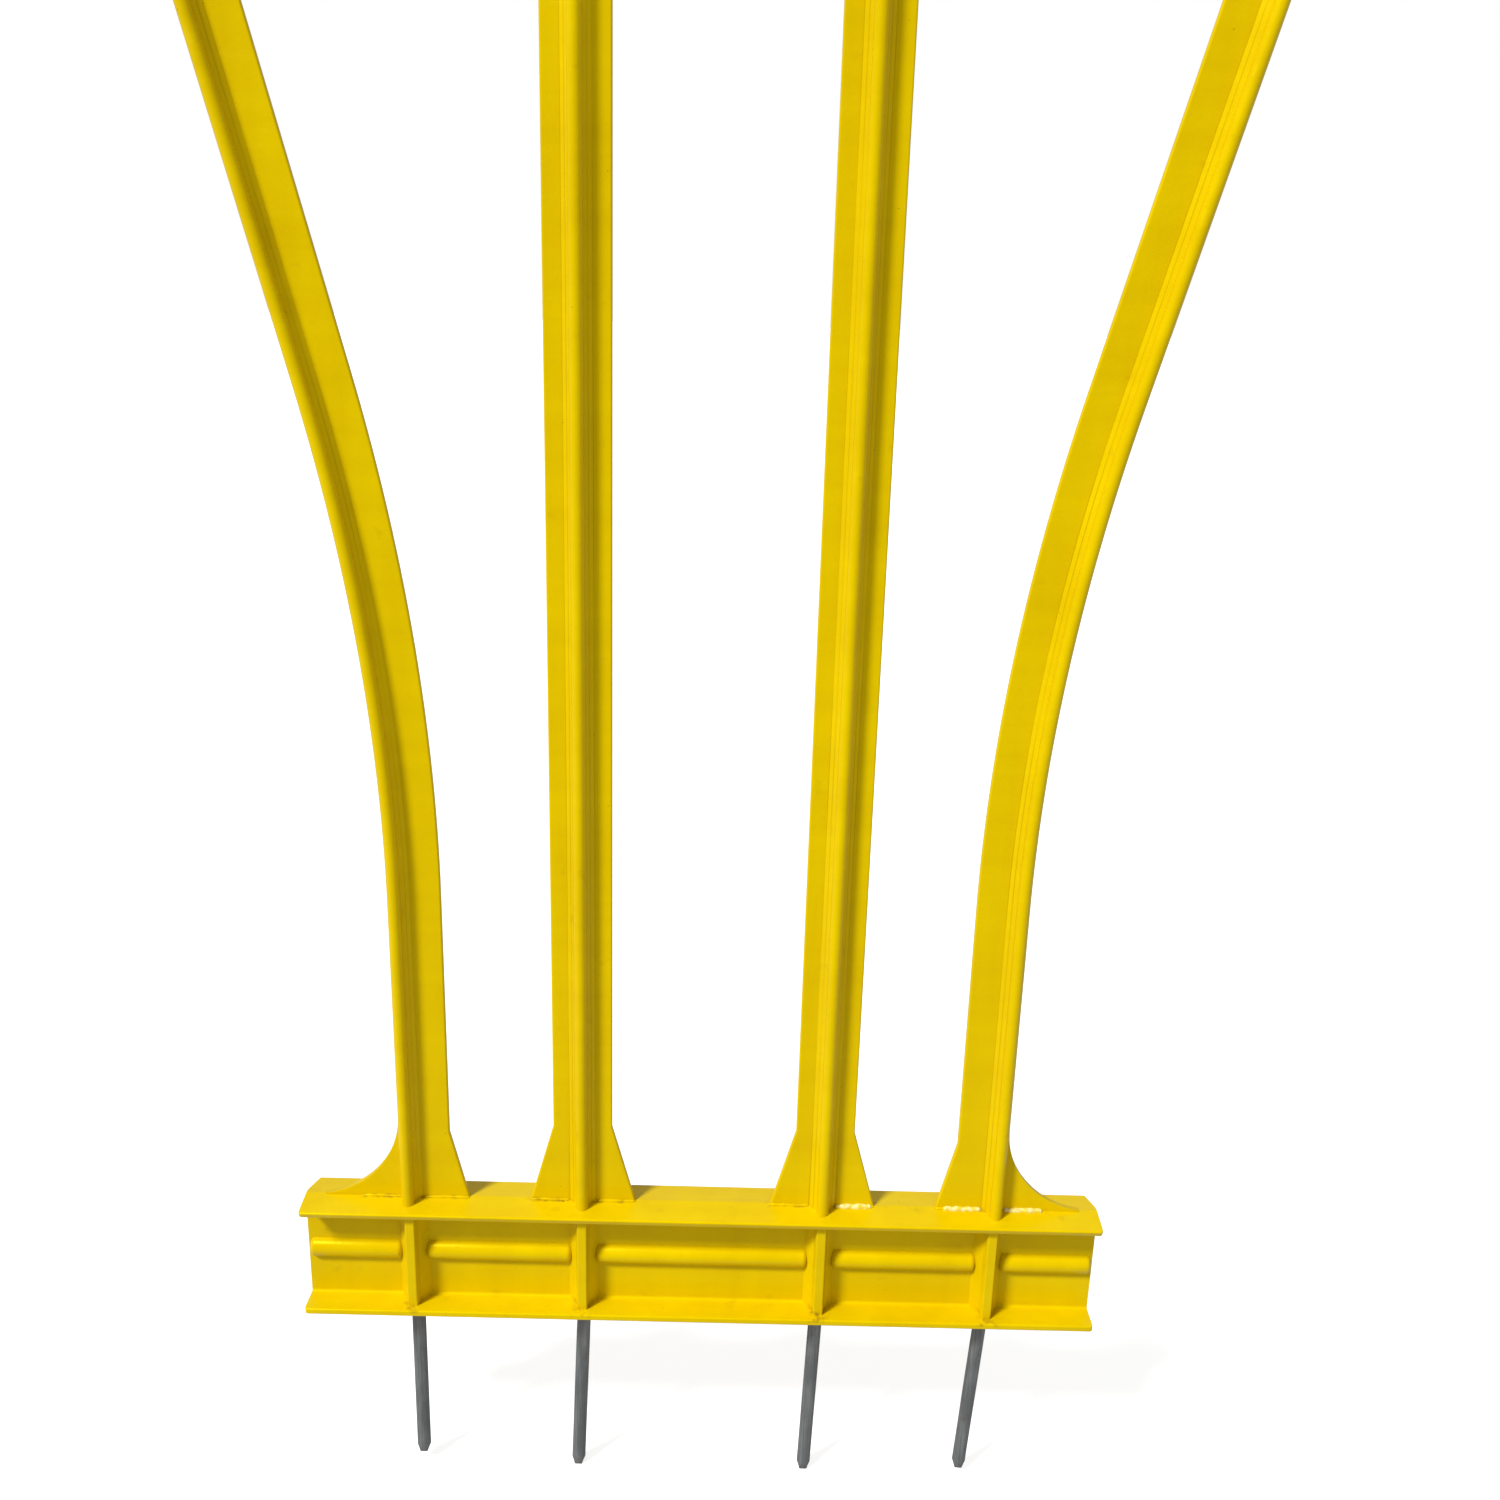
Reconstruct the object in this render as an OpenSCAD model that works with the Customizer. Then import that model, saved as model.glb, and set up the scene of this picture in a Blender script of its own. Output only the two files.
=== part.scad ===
// Spiked free-kick training dummy: an upright figure of ribbed plastic bars on a spiked base rail.
// The origin is the centre of the base rail's underside, which lies on the ground; +Z is up,
// X runs along the rail and Y runs through the figure from front to back.

/* [Base rail] */
// Length of the base rail
base_length = 400; // [380:10:460]
// Depth of every rail's flanges, front to back
rail_depth = 32; // [28:1:40]
// Height of the base rail at the crest of its crowned top
base_height = 60.8; // [55:0.1:70]
// How far the crowned top falls from its crest to the flange edges
base_crown = 1.7; // [0.5:0.1:3]
// Thickness of every rail's flanges
flange_t = 3.2; // [2.5:0.1:4]
// Thickness of every rail's web
web_t = 3; // [2:0.1:4]
// Height above the ground of the bead along the base rail's web
bead_z = 29.8; // [25:0.1:34]
// Radius of that bead
bead_r = 5.6; // [4:0.05:6]

/* [Ground spikes] */
// Distance of the inner spikes from the middle
inner_spike_x = 60; // [50:1:80]
// Distance of the outer spikes from the middle
outer_spike_x = 146; // [130:1:160]
// Radius of the spike bar
spike_r = 3.5; // [2.5:0.1:4]
// How far each spike reaches below the rail, from left to right
spike_reach = [97, 103, 103, 100]; // [80:1:120]
// How far each spike leans to the left on its way down, in degrees, from left to right
spike_lean = [0.2, 2.1, 1.7, 3.2]; // [0:0.1:4]
// Length of the spike's point
spike_point = 4; // [3:0.5:8]

/* [Upright bars] */
// Distance of the inner bars from the middle
inner_bar_x = 60.3; // [50:0.1:80]
// Distance of the outer bars' ribs from the middle, at the base rail
outer_bar_x = 147.3; // [135:0.1:155]
// Thickness of every bar's flat plate
plate_t = 3; // [2:0.1:4]
// Half of the inner bars' width
inner_half = 14.6; // [12:0.1:18]
// Plate width of the outer bars on the inner side of the rib
outer_inside = 20.8; // [16:0.1:24]
// Plate width of the outer bars on the outer side of the rib
outer_outside = 4.5; // [4:0.1:8]
// Width of every rib where it springs from the plate
rib_root = 12.8; // [10:0.1:14]
// Radius of the rounded nose of every rib
nose_r = 3.1; // [2.5:0.1:3.5]
// Distance of the front of the nose from the middle of the plate
nose_reach = 9.7; // [8:0.1:11]

/* [Figure] */
// Height at which the outer bars start to splay
splay_start = 223.4; // [150:0.1:260]
// Angle of the splayed legs from upright
splay_angle = 14.3; // [10:0.1:18]
// Radius of the bends in the outer bars
splay_r = 955; // [800:5:1000]
// Length of the straight splayed stretch
splay_run = 207; // [120:1:260]
// Height of each cross rail above the legs
cross_rail_h = 30; // [28:1:40]
// Length of the torso bars
torso_length = 310; // [250:5:360]
// Radius of the shoulder bend
shoulder_r = 110; // [80:5:140]
// Slope of the shoulder line
shoulder_slope = 20; // [10:1:35]
// Half the length of the collar rail
collar_half = 80; // [78:1:90]
// Distance of the neck's ribs from the middle
neck_x = 50; // [40:1:55]
// Length of the straight side of the head
head_side = 90; // [60:5:110]

/* [Waist bolts] */
// Spacing of the bolt pairs along the waist
bolt_pitch = 170; // [150:5:180]
// Distance of each bolt from the web's middle
bolt_y = 8.6; // [8.4:0.1:9]
// Radius of the bolt shank
bolt_r = 3; // [2.5:0.5:3]

/* [Hidden] */

plastic = "gold";
steel = "dimgray";
$fn = 64;
fine = 360;                     // facets of a full turn where a bend is long and shallow
small = 32;                     // facets of a full turn on a tiny rounding
bevel = 0.5;                    // bevel of the flange and plate edges
past = 1;                       // how far a cutting tool runs past the face it cuts
seam = 0.01;                    // hairline between two stretches of a swept bar
tongue = 1;                     // how far the hidden tongue reaches to each side of a seam
tongue_tuck = 0.05;             // how far the tongue stays below the bar's surface

// Foot of an upright bar
foot_top = 42;                  // height of the flare above the rail
foot_spread = 11.7;             // how far the flare widens an inner bar on each side
outer_foot_spread = 9;          // how far it widens an outer bar towards the middle
outer_foot_top = 37;            // height of that flare
toe_r = 45.2;                   // radius of the swept toe on the outer side
toe_length = 38.5;              // length of the toe, stopping short of a feather edge

// Neck of a bar's rib, hidden in the back of its nose
rib_neck_half = 2;              // half of the neck's width
rib_neck_drop = 1.1;            // distance of the neck behind the middle of the nose

// Rail rib: a wedge that narrows from the web to its front edge
rib_reach = 12;                 // distance of the rib's front edge from the middle of the web
rib_pad_half = 7.4;             // half of the rib's width where it springs from the web
rib_knee = [3.3, 7.5];          // half width and depth where the wedge turns into a blade
rib_front_half = 2.2;           // half of the rib's width at its front edge
bead_ease = 2.4;                // rounding of the bead's ends
end_clip = 3;                   // how far the rail's back corners are clipped at each end
rail_overhang = 1.5;            // how far a cross rail runs past the side bars' outer edges
collar_lift = 7;                // height of the collar rail's top above the shoulder line

// Spike: a shouldered bar whose thinner tenon is pressed up into the rail
tenon_r = 2.4;
tenon_top = 50;                 // height of the tenon's end above the ground
mouth_r = 4.6;                  // recess around the spike in the rail's underside
mouth_depth = 2;
point_r = 1.6;                  // radius of the blunt end of the point

// Waist fastenings
bolt_hole_r = bolt_r + 0.3;
washer_r = 6;
washer_t = 1.6;
hex_r = 5.77;                   // corner radius of a 10 mm hexagon
bolt_head_h = 4;
bolt_length = 16;
nut_h = 5;

spike_x = [-outer_spike_x, -inner_spike_x, inner_spike_x, outer_spike_x];
splay_rise = splay_r * sin(splay_angle);
splay_shift = splay_r * (1 - cos(splay_angle));
waist_z = splay_start + 2 * splay_rise + splay_run * cos(splay_angle);
side_x = outer_bar_x + 2 * splay_shift + splay_run * sin(splay_angle);
cross_half = side_x + outer_outside + rail_overhang;
// The cross rails' ribs stand under the bars, just inside the rails' ends.
cross_rib_x = [-side_x + rib_front_half, -inner_bar_x, inner_bar_x, side_x - rib_front_half];
waist_joint = waist_z + cross_rail_h;
torso_z = waist_joint + cross_rail_h;
chest_z = torso_z + torso_length;
shoulder_z = chest_z + cross_rail_h;

shoulder_turn = 90 - shoulder_slope;
shoulder_rise = 20;             // straight stretch above the chest rail
shoulder_end_x = side_x - shoulder_r * (1 - cos(shoulder_turn));
shoulder_run = (shoulder_end_x - collar_half) / cos(shoulder_slope);
shoulder_top = shoulder_z + shoulder_rise + shoulder_r * sin(shoulder_turn)
    + shoulder_run * sin(shoulder_slope);
collar_top = shoulder_top + collar_lift;
collar_z = collar_top - cross_rail_h;

neck_rise = 20;
jaw_turn = 50;                  // angle through which the neck flares into the head
jaw_hollow_r = 45;
jaw_round_r = 60;
head_r = neck_x + (jaw_hollow_r + jaw_round_r) * (1 - cos(jaw_turn));
head_centre_z = collar_top + neck_rise + (jaw_hollow_r + jaw_round_r) * sin(jaw_turn) + head_side;
head_bar_half = 9;

leg_path = [
    ["line", splay_start - base_height + past],
    ["out", splay_r, splay_angle],
    ["line", splay_run],
    ["in", splay_r, splay_angle]
];
shoulder_path = [
    ["line", shoulder_rise],
    ["in", shoulder_r, shoulder_turn],
    ["line", shoulder_run + outer_inside]
];
// From the right end of the neck up to the temple; the left side runs back down in the same way.
head_side_path = [
    ["line", neck_rise],
    ["out", jaw_hollow_r, jaw_turn],
    ["in", jaw_round_r, jaw_turn],
    ["line", head_side]
];
head_path = concat(
    head_side_path,
    [["in", head_r, 180]],
    [for (i = [len(head_side_path) - 1:-1:0]) head_side_path[i]]
);

// ---- Sections ----

// A flat bar seen end on, with its corners bevelled.
module bevelled_bar(size) {
    side = [size.x / 2, size.y / 2 - bevel];
    face = [size.x / 2 - bevel, size.y / 2];
    polygon([side, face, [-face.x, face.y], [-side.x, side.y],
             -side, -face, [face.x, -face.y], [side.x, -side.y]]);
}

// The plate of a bar, reaching from -inside to +outside of the rib.
module plate_section(inside, outside) {
    translate([(outside - inside) / 2, 0])
        bevelled_bar([inside + outside - 2 * $tuck, plate_t - 2 * $tuck]);
}

// Both ribs of a bar: wedges on the plate that end in a rounded nose. Near a plate edge the
// wedge is narrower, so that it springs from the flat of the plate.
module rib_section(inside, outside) {
    neck_half = rib_neck_half - $tuck;
    neck = nose_reach - nose_r - rib_neck_drop;
    root = plate_t / 2 - $tuck;
    root_in = min(rib_root / 2, inside - bevel) - $tuck;
    root_out = min(rib_root / 2, outside - bevel) - $tuck;
    for (face = [0, 1])
        mirror([0, face]) {
            polygon([[-root_in, 0], [root_out, 0], [root_out, root],
                     [neck_half, neck], [-neck_half, neck], [-root_in, root]]);
            translate([0, nose_reach - nose_r]) circle(nose_r - $tuck);
        }
}

// A bar swept along a path, starting upwards from the origin.
module bar(path, inside, outside) {
    sweep(path) plate_section(inside, outside);
    sweep(path) rib_section(inside, outside);
}

// A side bar, whose rib sits close to the outer edge.
module side_bar(path) {
    bar(path, outer_inside, outer_outside);
}

// Sweeps a section along straight and bent stretches, starting upwards from the origin.
// An "out" stretch bends towards +X and an "in" stretch towards -X. Stretches meet across a
// hairline seam and share a hidden tongue, so the bar is one solid whatever its angles.
module sweep(path, step = 0) {
    if (step < len(path)) {
        part = path[step];
        gap = step < len(path) - 1 ? seam : 0;
        if (step > 0)
            translate([0, 0, -tongue]) linear_extrude(2 * tongue) let ($tuck = tongue_tuck) children();
        if (part[0] == "line") {
            linear_extrude(part[1] - gap) let ($tuck = 0) children();
            translate([0, 0, part[1]]) sweep(path, step + 1) children();
        } else {
            way = part[0] == "out" ? 1 : -1;
            bend(part[1], part[2] - gap / part[1] * 180 / PI, way) let ($tuck = 0) children();
            translate([way * part[1] * (1 - cos(part[2])), 0, part[1] * sin(part[2])])
                rotate([0, way * part[2], 0]) sweep(path, step + 1) children();
        }
    }
}

// One bend of a sweep, of a given radius and angle, towards +X or -X as way is 1 or -1.
module bend(radius, angle, way) {
    turn = way > 0 ? 1 : 0;
    mirror([turn, 0, 0]) translate([-radius, 0, 0]) rotate([90, 0, 0])
        rotate_extrude(angle = angle, $fn = fine)
            translate([radius, 0]) mirror([turn, 0]) children();
}

// Lays a section drawn in Y and Z along X, centred on the middle.
module along_x(half) {
    rotate([90, 0, 90]) linear_extrude(2 * half, center = true) children();
}

// A flat shape drawn in X and Z, given the plate's thickness.
module as_plate() {
    rotate([90, 0, 0]) linear_extrude(plate_t, center = true) children();
}

// ---- Rails ----

// I-shaped section of a rail standing on z = 0; a crown above 0 makes its top a low roof.
module rail_section(height, crown) {
    translate([0, flange_t / 2]) bevelled_bar([rail_depth, flange_t]);
    translate([-web_t / 2, flange_t / 2]) square([web_t, height - flange_t - crown]);
    translate([0, height - crown - flange_t / 2]) bevelled_bar([rail_depth, flange_t]);
    roof = rail_depth / 2 - bevel;
    polygon([[-roof, height - crown - flange_t / 2], [roof, height - crown - flange_t / 2],
             [roof, height - crown], [0, height], [-roof, height - crown]]);
}

// One stiffening rib across a rail, between its flanges.
module rail_rib(height, crown) {
    right = [[rib_pad_half, web_t / 2], rib_knee, [rib_front_half, rib_reach]];
    outline = concat(
        right,
        [for (i = [2:-1:0]) [-right[i].x, right[i].y]],
        [for (p = right) [-p.x, -p.y]],
        [for (i = [2:-1:0]) [right[i].x, -right[i].y]]
    );
    translate([0, 0, flange_t / 2]) linear_extrude(height - crown - flange_t) polygon(outline);
}

// A rail with ribs at the given places along it.
module rail(half, height, crown, rib_x) {
    along_x(half) rail_section(height, crown);
    for (x = rib_x)
        translate([x, 0, 0]) rail_rib(height, crown);
}

// A stretch of the base rail's bead, with its ends rounded over.
module bead(x0, x1) {
    length = x1 - x0;
    translate([x0, 0, bead_z]) rotate([0, 90, 0]) rotate_extrude() {
        square([bead_r - bead_ease, length]);
        translate([0, bead_ease]) square([bead_r, length - 2 * bead_ease]);
        for (z = [bead_ease, length - bead_ease])
            translate([bead_r - bead_ease, z]) circle(bead_ease, $fn = small);
    }
}

// Clips the back corner of the base rail's top flange at each end.
module end_clips() {
    end = base_length / 2;
    back = rail_depth / 2;
    start = web_t;
    depth = base_crown + flange_t + past;
    for (side = [0, 1])
        mirror([side, 0, 0]) translate([0, 0, base_height - depth]) linear_extrude(depth + past)
            polygon([[end, start], [end + past, start], [end + past, back + past],
                     [end - end_clip, back + past], [end - end_clip, back]]);
}

module base_rail() {
    stops = concat([-base_length / 2 - rib_pad_half], spike_x, [base_length / 2 + rib_pad_half]);
    color(plastic) difference() {
        union() {
            rail(base_length / 2, base_height, base_crown, spike_x);
            for (i = [0:len(stops) - 2])
                bead(stops[i] + rib_pad_half, stops[i + 1] - rib_pad_half);
        }
        end_clips();
        for (i = [0:3])
            place_spike(i) {
                translate([0, 0, -past]) cylinder(h = tenon_top + past, r = tenon_r);
                translate([0, 0, -2 * past]) cylinder(h = mouth_depth + 2 * past, r = mouth_r);
            }
    }
}

// Space taken up by the base rail, up to its crowned top.
module under_crown() {
    half = rail_depth / 2;
    eaves = base_height - base_crown;
    along_x(base_length)
        polygon([[-half, 0], [half, 0], [half, eaves], [half - bevel, eaves], [0, base_height],
                 [-half + bevel, eaves], [-half, eaves]]);
}

// A plain cross rail of the figure, standing at height z.
module cross_rail(z, half, rib_x) {
    translate([0, 0, z]) rail(half, cross_rail_h, 0, rib_x);
}

module lower_waist_rail() {
    color(plastic) difference() {
        cross_rail(waist_z, cross_half, cross_rib_x);
        bolt_places() cylinder(h = 4 * flange_t, r = bolt_hole_r, center = true);
    }
}

module upper_waist_rail() {
    color(plastic) difference() {
        cross_rail(waist_joint, cross_half, cross_rib_x);
        bolt_places() cylinder(h = 4 * flange_t, r = bolt_hole_r, center = true);
    }
}

module chest_rail() {
    color(plastic) cross_rail(chest_z, cross_half, cross_rib_x);
}

module collar_rail() {
    color(plastic) cross_rail(collar_z, collar_half, [-inner_bar_x, inner_bar_x]);
}

// ---- Ground spikes ----

// Puts a child on the axis of one spike, whose origin is where the axis meets the ground.
module place_spike(i) {
    translate([spike_x[i], 0, 0]) rotate([0, spike_lean[i], 0]) children();
}

module spike(i) {
    length = spike_reach[i] / cos(spike_lean[i]);
    color(steel) place_spike(i) {
        cylinder(h = tenon_top, r = tenon_r);
        translate([0, 0, spike_point - length])
            cylinder(h = length - spike_point + mouth_depth, r = spike_r);
        translate([0, 0, -length]) cylinder(h = spike_point, r1 = point_r, r2 = spike_r);
    }
}

// ---- Upright bars ----

// Flared plate at the foot of an inner bar, standing on z = 0.
module inner_flare() {
    as_plate() polygon([[-inner_half - foot_spread, 0], [inner_half + foot_spread, 0],
                        [inner_half, foot_top], [-inner_half, foot_top]]);
}

// Flared plate at the foot of a side bar, on its inner side.
module side_flare() {
    as_plate() polygon([[-outer_inside - outer_foot_spread, 0], [0, 0], [0, outer_foot_top],
                        [-outer_inside, outer_foot_top]]);
}

// Swept toe at the foot of a side bar, on its outer side.
module toe() {
    as_plate() difference() {
        square([outer_outside + toe_length, toe_r]);
        translate([outer_outside + toe_r, toe_r]) circle(toe_r, $fn = fine);
    }
}

// A straight inner bar with a flared foot at each end that the flags ask for.
module inner_bar(z0, z1, foot_below, foot_above) {
    translate([inner_bar_x, 0, z0]) {
        bar([["line", z1 - z0]], inner_half, inner_half);
        if (foot_below) inner_flare();
        if (foot_above) translate([0, 0, z1 - z0]) mirror([0, 0, 1]) inner_flare();
    }
}

module right_inner_leg() {
    color(plastic) difference() {
        inner_bar(base_height - past, waist_z, true, true);
        under_crown();
    }
}

module right_outer_leg() {
    color(plastic) difference() {
        union() {
            translate([outer_bar_x, 0, base_height - past]) {
                side_bar(leg_path);
                side_flare();
                translate([0, 0, past]) toe();
            }
            translate([side_x, 0, waist_z]) mirror([0, 0, 1]) side_flare();
        }
        under_crown();
    }
}

module right_inner_torso_bar() {
    color(plastic) inner_bar(torso_z, chest_z, true, true);
}

module right_outer_torso_bar() {
    color(plastic) translate([side_x, 0, torso_z]) {
        side_bar([["line", torso_length]]);
        side_flare();
        translate([0, 0, torso_length]) mirror([0, 0, 1]) side_flare();
    }
}

module right_shoulder_bar() {
    color(plastic) difference() {
        translate([side_x, 0, shoulder_z]) {
            side_bar(shoulder_path);
            side_flare();
        }
        translate([-collar_half, -rail_depth, shoulder_z])
            cube([2 * collar_half, 2 * rail_depth, shoulder_top]);
    }
}

module right_neck_bar() {
    color(plastic) inner_bar(shoulder_z, collar_z, true, false);
}

// Mirrors a right-hand bar to the left side.
module to_left() {
    mirror([1, 0, 0]) children();
}

// ---- Head ----

module head_hoop() {
    color(plastic) translate([neck_x, 0, collar_top]) side_bar(head_path);
}

module head_bar() {
    crown_inside = head_r - outer_inside;
    color(plastic) difference() {
        translate([0, 0, collar_top])
            bar([["line", head_centre_z + crown_inside - collar_top]], head_bar_half, head_bar_half);
        translate([0, 0, head_centre_z]) rotate([90, 0, 0]) difference() {
            translate([-head_r, 0, -rail_depth]) cube([2 * head_r, head_r, 2 * rail_depth]);
            cylinder(h = 3 * rail_depth, r = crown_inside, center = true, $fn = fine);
        }
    }
}

// ---- Waist fastenings ----

// Puts a child at each waist bolt, at the height where the two waist rails meet.
module bolt_places() {
    for (x = [-bolt_pitch, 0, bolt_pitch], y = [-bolt_y, bolt_y])
        translate([x, y, waist_joint]) children();
}

module waist_bolts() {
    color(steel) bolt_places() translate([0, 0, flange_t + washer_t]) {
        cylinder(h = bolt_head_h, r = hex_r, $fn = 6);
        translate([0, 0, -bolt_length]) cylinder(h = bolt_length, r = bolt_r);
    }
}

module waist_washers() {
    color(steel) bolt_places() for (z = [flange_t, -flange_t - washer_t])
        translate([0, 0, z]) difference() {
            cylinder(h = washer_t, r = washer_r);
            translate([0, 0, -past]) cylinder(h = washer_t + 2 * past, r = bolt_hole_r);
        }
}

module waist_nuts() {
    color(steel) bolt_places() translate([0, 0, -flange_t - washer_t - nut_h]) difference() {
        cylinder(h = nut_h, r = hex_r, $fn = 6);
        translate([0, 0, -past]) cylinder(h = nut_h + 2 * past, r = bolt_r);
    }
}

base_rail();
spike(0);  // outer_left_spike
spike(1);  // inner_left_spike
spike(2);  // inner_right_spike
spike(3);  // outer_right_spike
to_left() right_outer_leg();  // outer_left_leg
to_left() right_inner_leg();  // inner_left_leg
right_inner_leg();  // inner_right_leg
right_outer_leg();  // outer_right_leg
lower_waist_rail();
upper_waist_rail();
waist_bolts();
waist_washers();
waist_nuts();
to_left() right_outer_torso_bar();  // outer_left_torso_bar
to_left() right_inner_torso_bar();  // inner_left_torso_bar
right_inner_torso_bar();  // inner_right_torso_bar
right_outer_torso_bar();  // outer_right_torso_bar
chest_rail();
to_left() right_shoulder_bar();  // left_shoulder
right_shoulder_bar();  // right_shoulder
to_left() right_neck_bar();  // left_neck_post
right_neck_bar();  // right_neck_post
collar_rail();
head_hoop();
head_bar();
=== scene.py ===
import logging
import math
from collections.abc import Iterable, Iterator, Mapping, Sequence
from contextlib import contextmanager
from dataclasses import dataclass, field
from enum import Enum

import bmesh
import bpy
from mathutils import Matrix, Vector


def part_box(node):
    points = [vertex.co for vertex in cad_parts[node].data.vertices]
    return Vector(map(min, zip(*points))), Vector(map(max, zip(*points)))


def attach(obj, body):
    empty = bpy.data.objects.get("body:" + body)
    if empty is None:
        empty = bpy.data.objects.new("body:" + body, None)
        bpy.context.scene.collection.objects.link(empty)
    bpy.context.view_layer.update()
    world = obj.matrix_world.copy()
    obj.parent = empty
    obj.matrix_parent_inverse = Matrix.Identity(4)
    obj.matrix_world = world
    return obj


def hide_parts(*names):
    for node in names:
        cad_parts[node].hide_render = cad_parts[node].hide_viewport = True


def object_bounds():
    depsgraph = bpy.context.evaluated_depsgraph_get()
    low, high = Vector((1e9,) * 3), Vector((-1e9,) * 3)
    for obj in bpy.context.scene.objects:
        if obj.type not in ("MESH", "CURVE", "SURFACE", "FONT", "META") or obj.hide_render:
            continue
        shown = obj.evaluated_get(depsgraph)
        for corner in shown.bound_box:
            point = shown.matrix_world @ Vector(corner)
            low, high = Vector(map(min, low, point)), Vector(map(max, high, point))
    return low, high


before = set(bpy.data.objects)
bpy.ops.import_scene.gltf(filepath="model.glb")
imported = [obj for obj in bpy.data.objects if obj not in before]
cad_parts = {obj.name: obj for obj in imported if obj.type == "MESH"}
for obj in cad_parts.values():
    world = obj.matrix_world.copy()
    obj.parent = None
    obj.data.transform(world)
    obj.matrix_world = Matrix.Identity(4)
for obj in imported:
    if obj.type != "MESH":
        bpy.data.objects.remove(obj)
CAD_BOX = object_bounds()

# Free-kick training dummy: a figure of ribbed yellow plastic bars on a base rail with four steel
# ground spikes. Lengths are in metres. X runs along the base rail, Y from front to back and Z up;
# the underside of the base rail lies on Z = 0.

LOG = logging.getLogger("training_dummy")
BODY = "root"
SMOOTH_BELOW = math.radians(34)     # edges that turn less than this are shaded smooth
Socket = bpy.types.NodeSocket
Point = tuple[float, float]
Span = tuple[float, float]
Rings = Sequence[Sequence[Vector]]
Colour = tuple[float, float, float, float]
WHITE: Colour = (1.0, 1.0, 1.0, 1.0)


class Slot(Enum):
    """The record's material slots."""

    PLASTIC = "yellow_plastic"
    SPIKE = "spike_steel"
    ZINC = "zinc_steel"


class Side(Enum):
    """The two sides of the figure, as seen from the front."""

    LEFT = -1
    RIGHT = 1


# ---- Node helpers ----

class TreeMaker:
    """Adds nodes to one node tree and wires their inputs as it goes."""

    def __init__(self, tree: bpy.types.NodeTree) -> None:
        """Starts on an empty or ready-made tree."""
        self.tree = tree

    def add(self, kind: str, wires: Mapping[str | int, object] | None = None,
            **settings: object) -> bpy.types.Node:
        """Adds one node.

        Args:
            kind: The node's type name.
            wires: A socket to link or a value to set, for each input by name or place.
            **settings: Values for the node's own options.

        Returns:
            The new node.
        """
        node = self.tree.nodes.new(kind)
        for option, value in settings.items():
            setattr(node, option, value)
        self.wire(node, wires or {})
        return node

    def wire(self, node: bpy.types.Node, wires: Mapping[str | int, object]) -> None:
        """Links or sets a node's inputs, each given by name or place."""
        for key, value in wires.items():
            if isinstance(value, Socket):
                self.tree.links.new(value, node.inputs[key])
            else:
                node.inputs[key].default_value = value

    def math(self, operation: str, *values: object) -> Socket:
        """Returns the result of a Math node on numbers or sockets."""
        return self.add("ShaderNodeMath", dict(enumerate(values)), operation=operation).outputs[0]

    def vector(self, operation: str, *values: object) -> Socket:
        """Returns the vector result of a Vector Math node."""
        return self.add("ShaderNodeVectorMath", dict(enumerate(values)), operation=operation).outputs[0]

    def span(self, value: object, low: object, high: object) -> Socket:
        """Returns how far a value has gone from low to high, held between 0 and 1."""
        wires = {"Value": value, "From Min": low, "From Max": high}
        return self.add("ShaderNodeMapRange", wires, clamp=True).outputs["Result"]

    def product(self, first: object, *others: object) -> Socket:
        """Returns the product of numbers or sockets."""
        for other in others:
            first = self.math("MULTIPLY", first, other)
        return first

    def flipped(self, value: Socket) -> Socket:
        """Returns 1 less a value."""
        return self.math("SUBTRACT", 1.0, value)

    def gap(self, value: Socket, mark: float) -> Socket:
        """Returns how far a value lies from a mark, on either side."""
        return self.math("ABSOLUTE", self.math("SUBTRACT", value, mark))

    def axes(self, vector: Socket) -> Sequence[Socket]:
        """Returns the three parts of a vector."""
        return self.add("ShaderNodeSeparateXYZ", {0: vector}).outputs

    def joined(self, x: object, y: object, z: object) -> Socket:
        """Returns a vector of three parts."""
        return self.add("ShaderNodeCombineXYZ", {0: x, 1: y, 2: z}).outputs[0]

    def scaled(self, vector: Socket, amount: Socket) -> Socket:
        """Returns a vector times a number."""
        return self.add("ShaderNodeVectorMath", {0: vector, "Scale": amount}, operation="SCALE").outputs[0]


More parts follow.
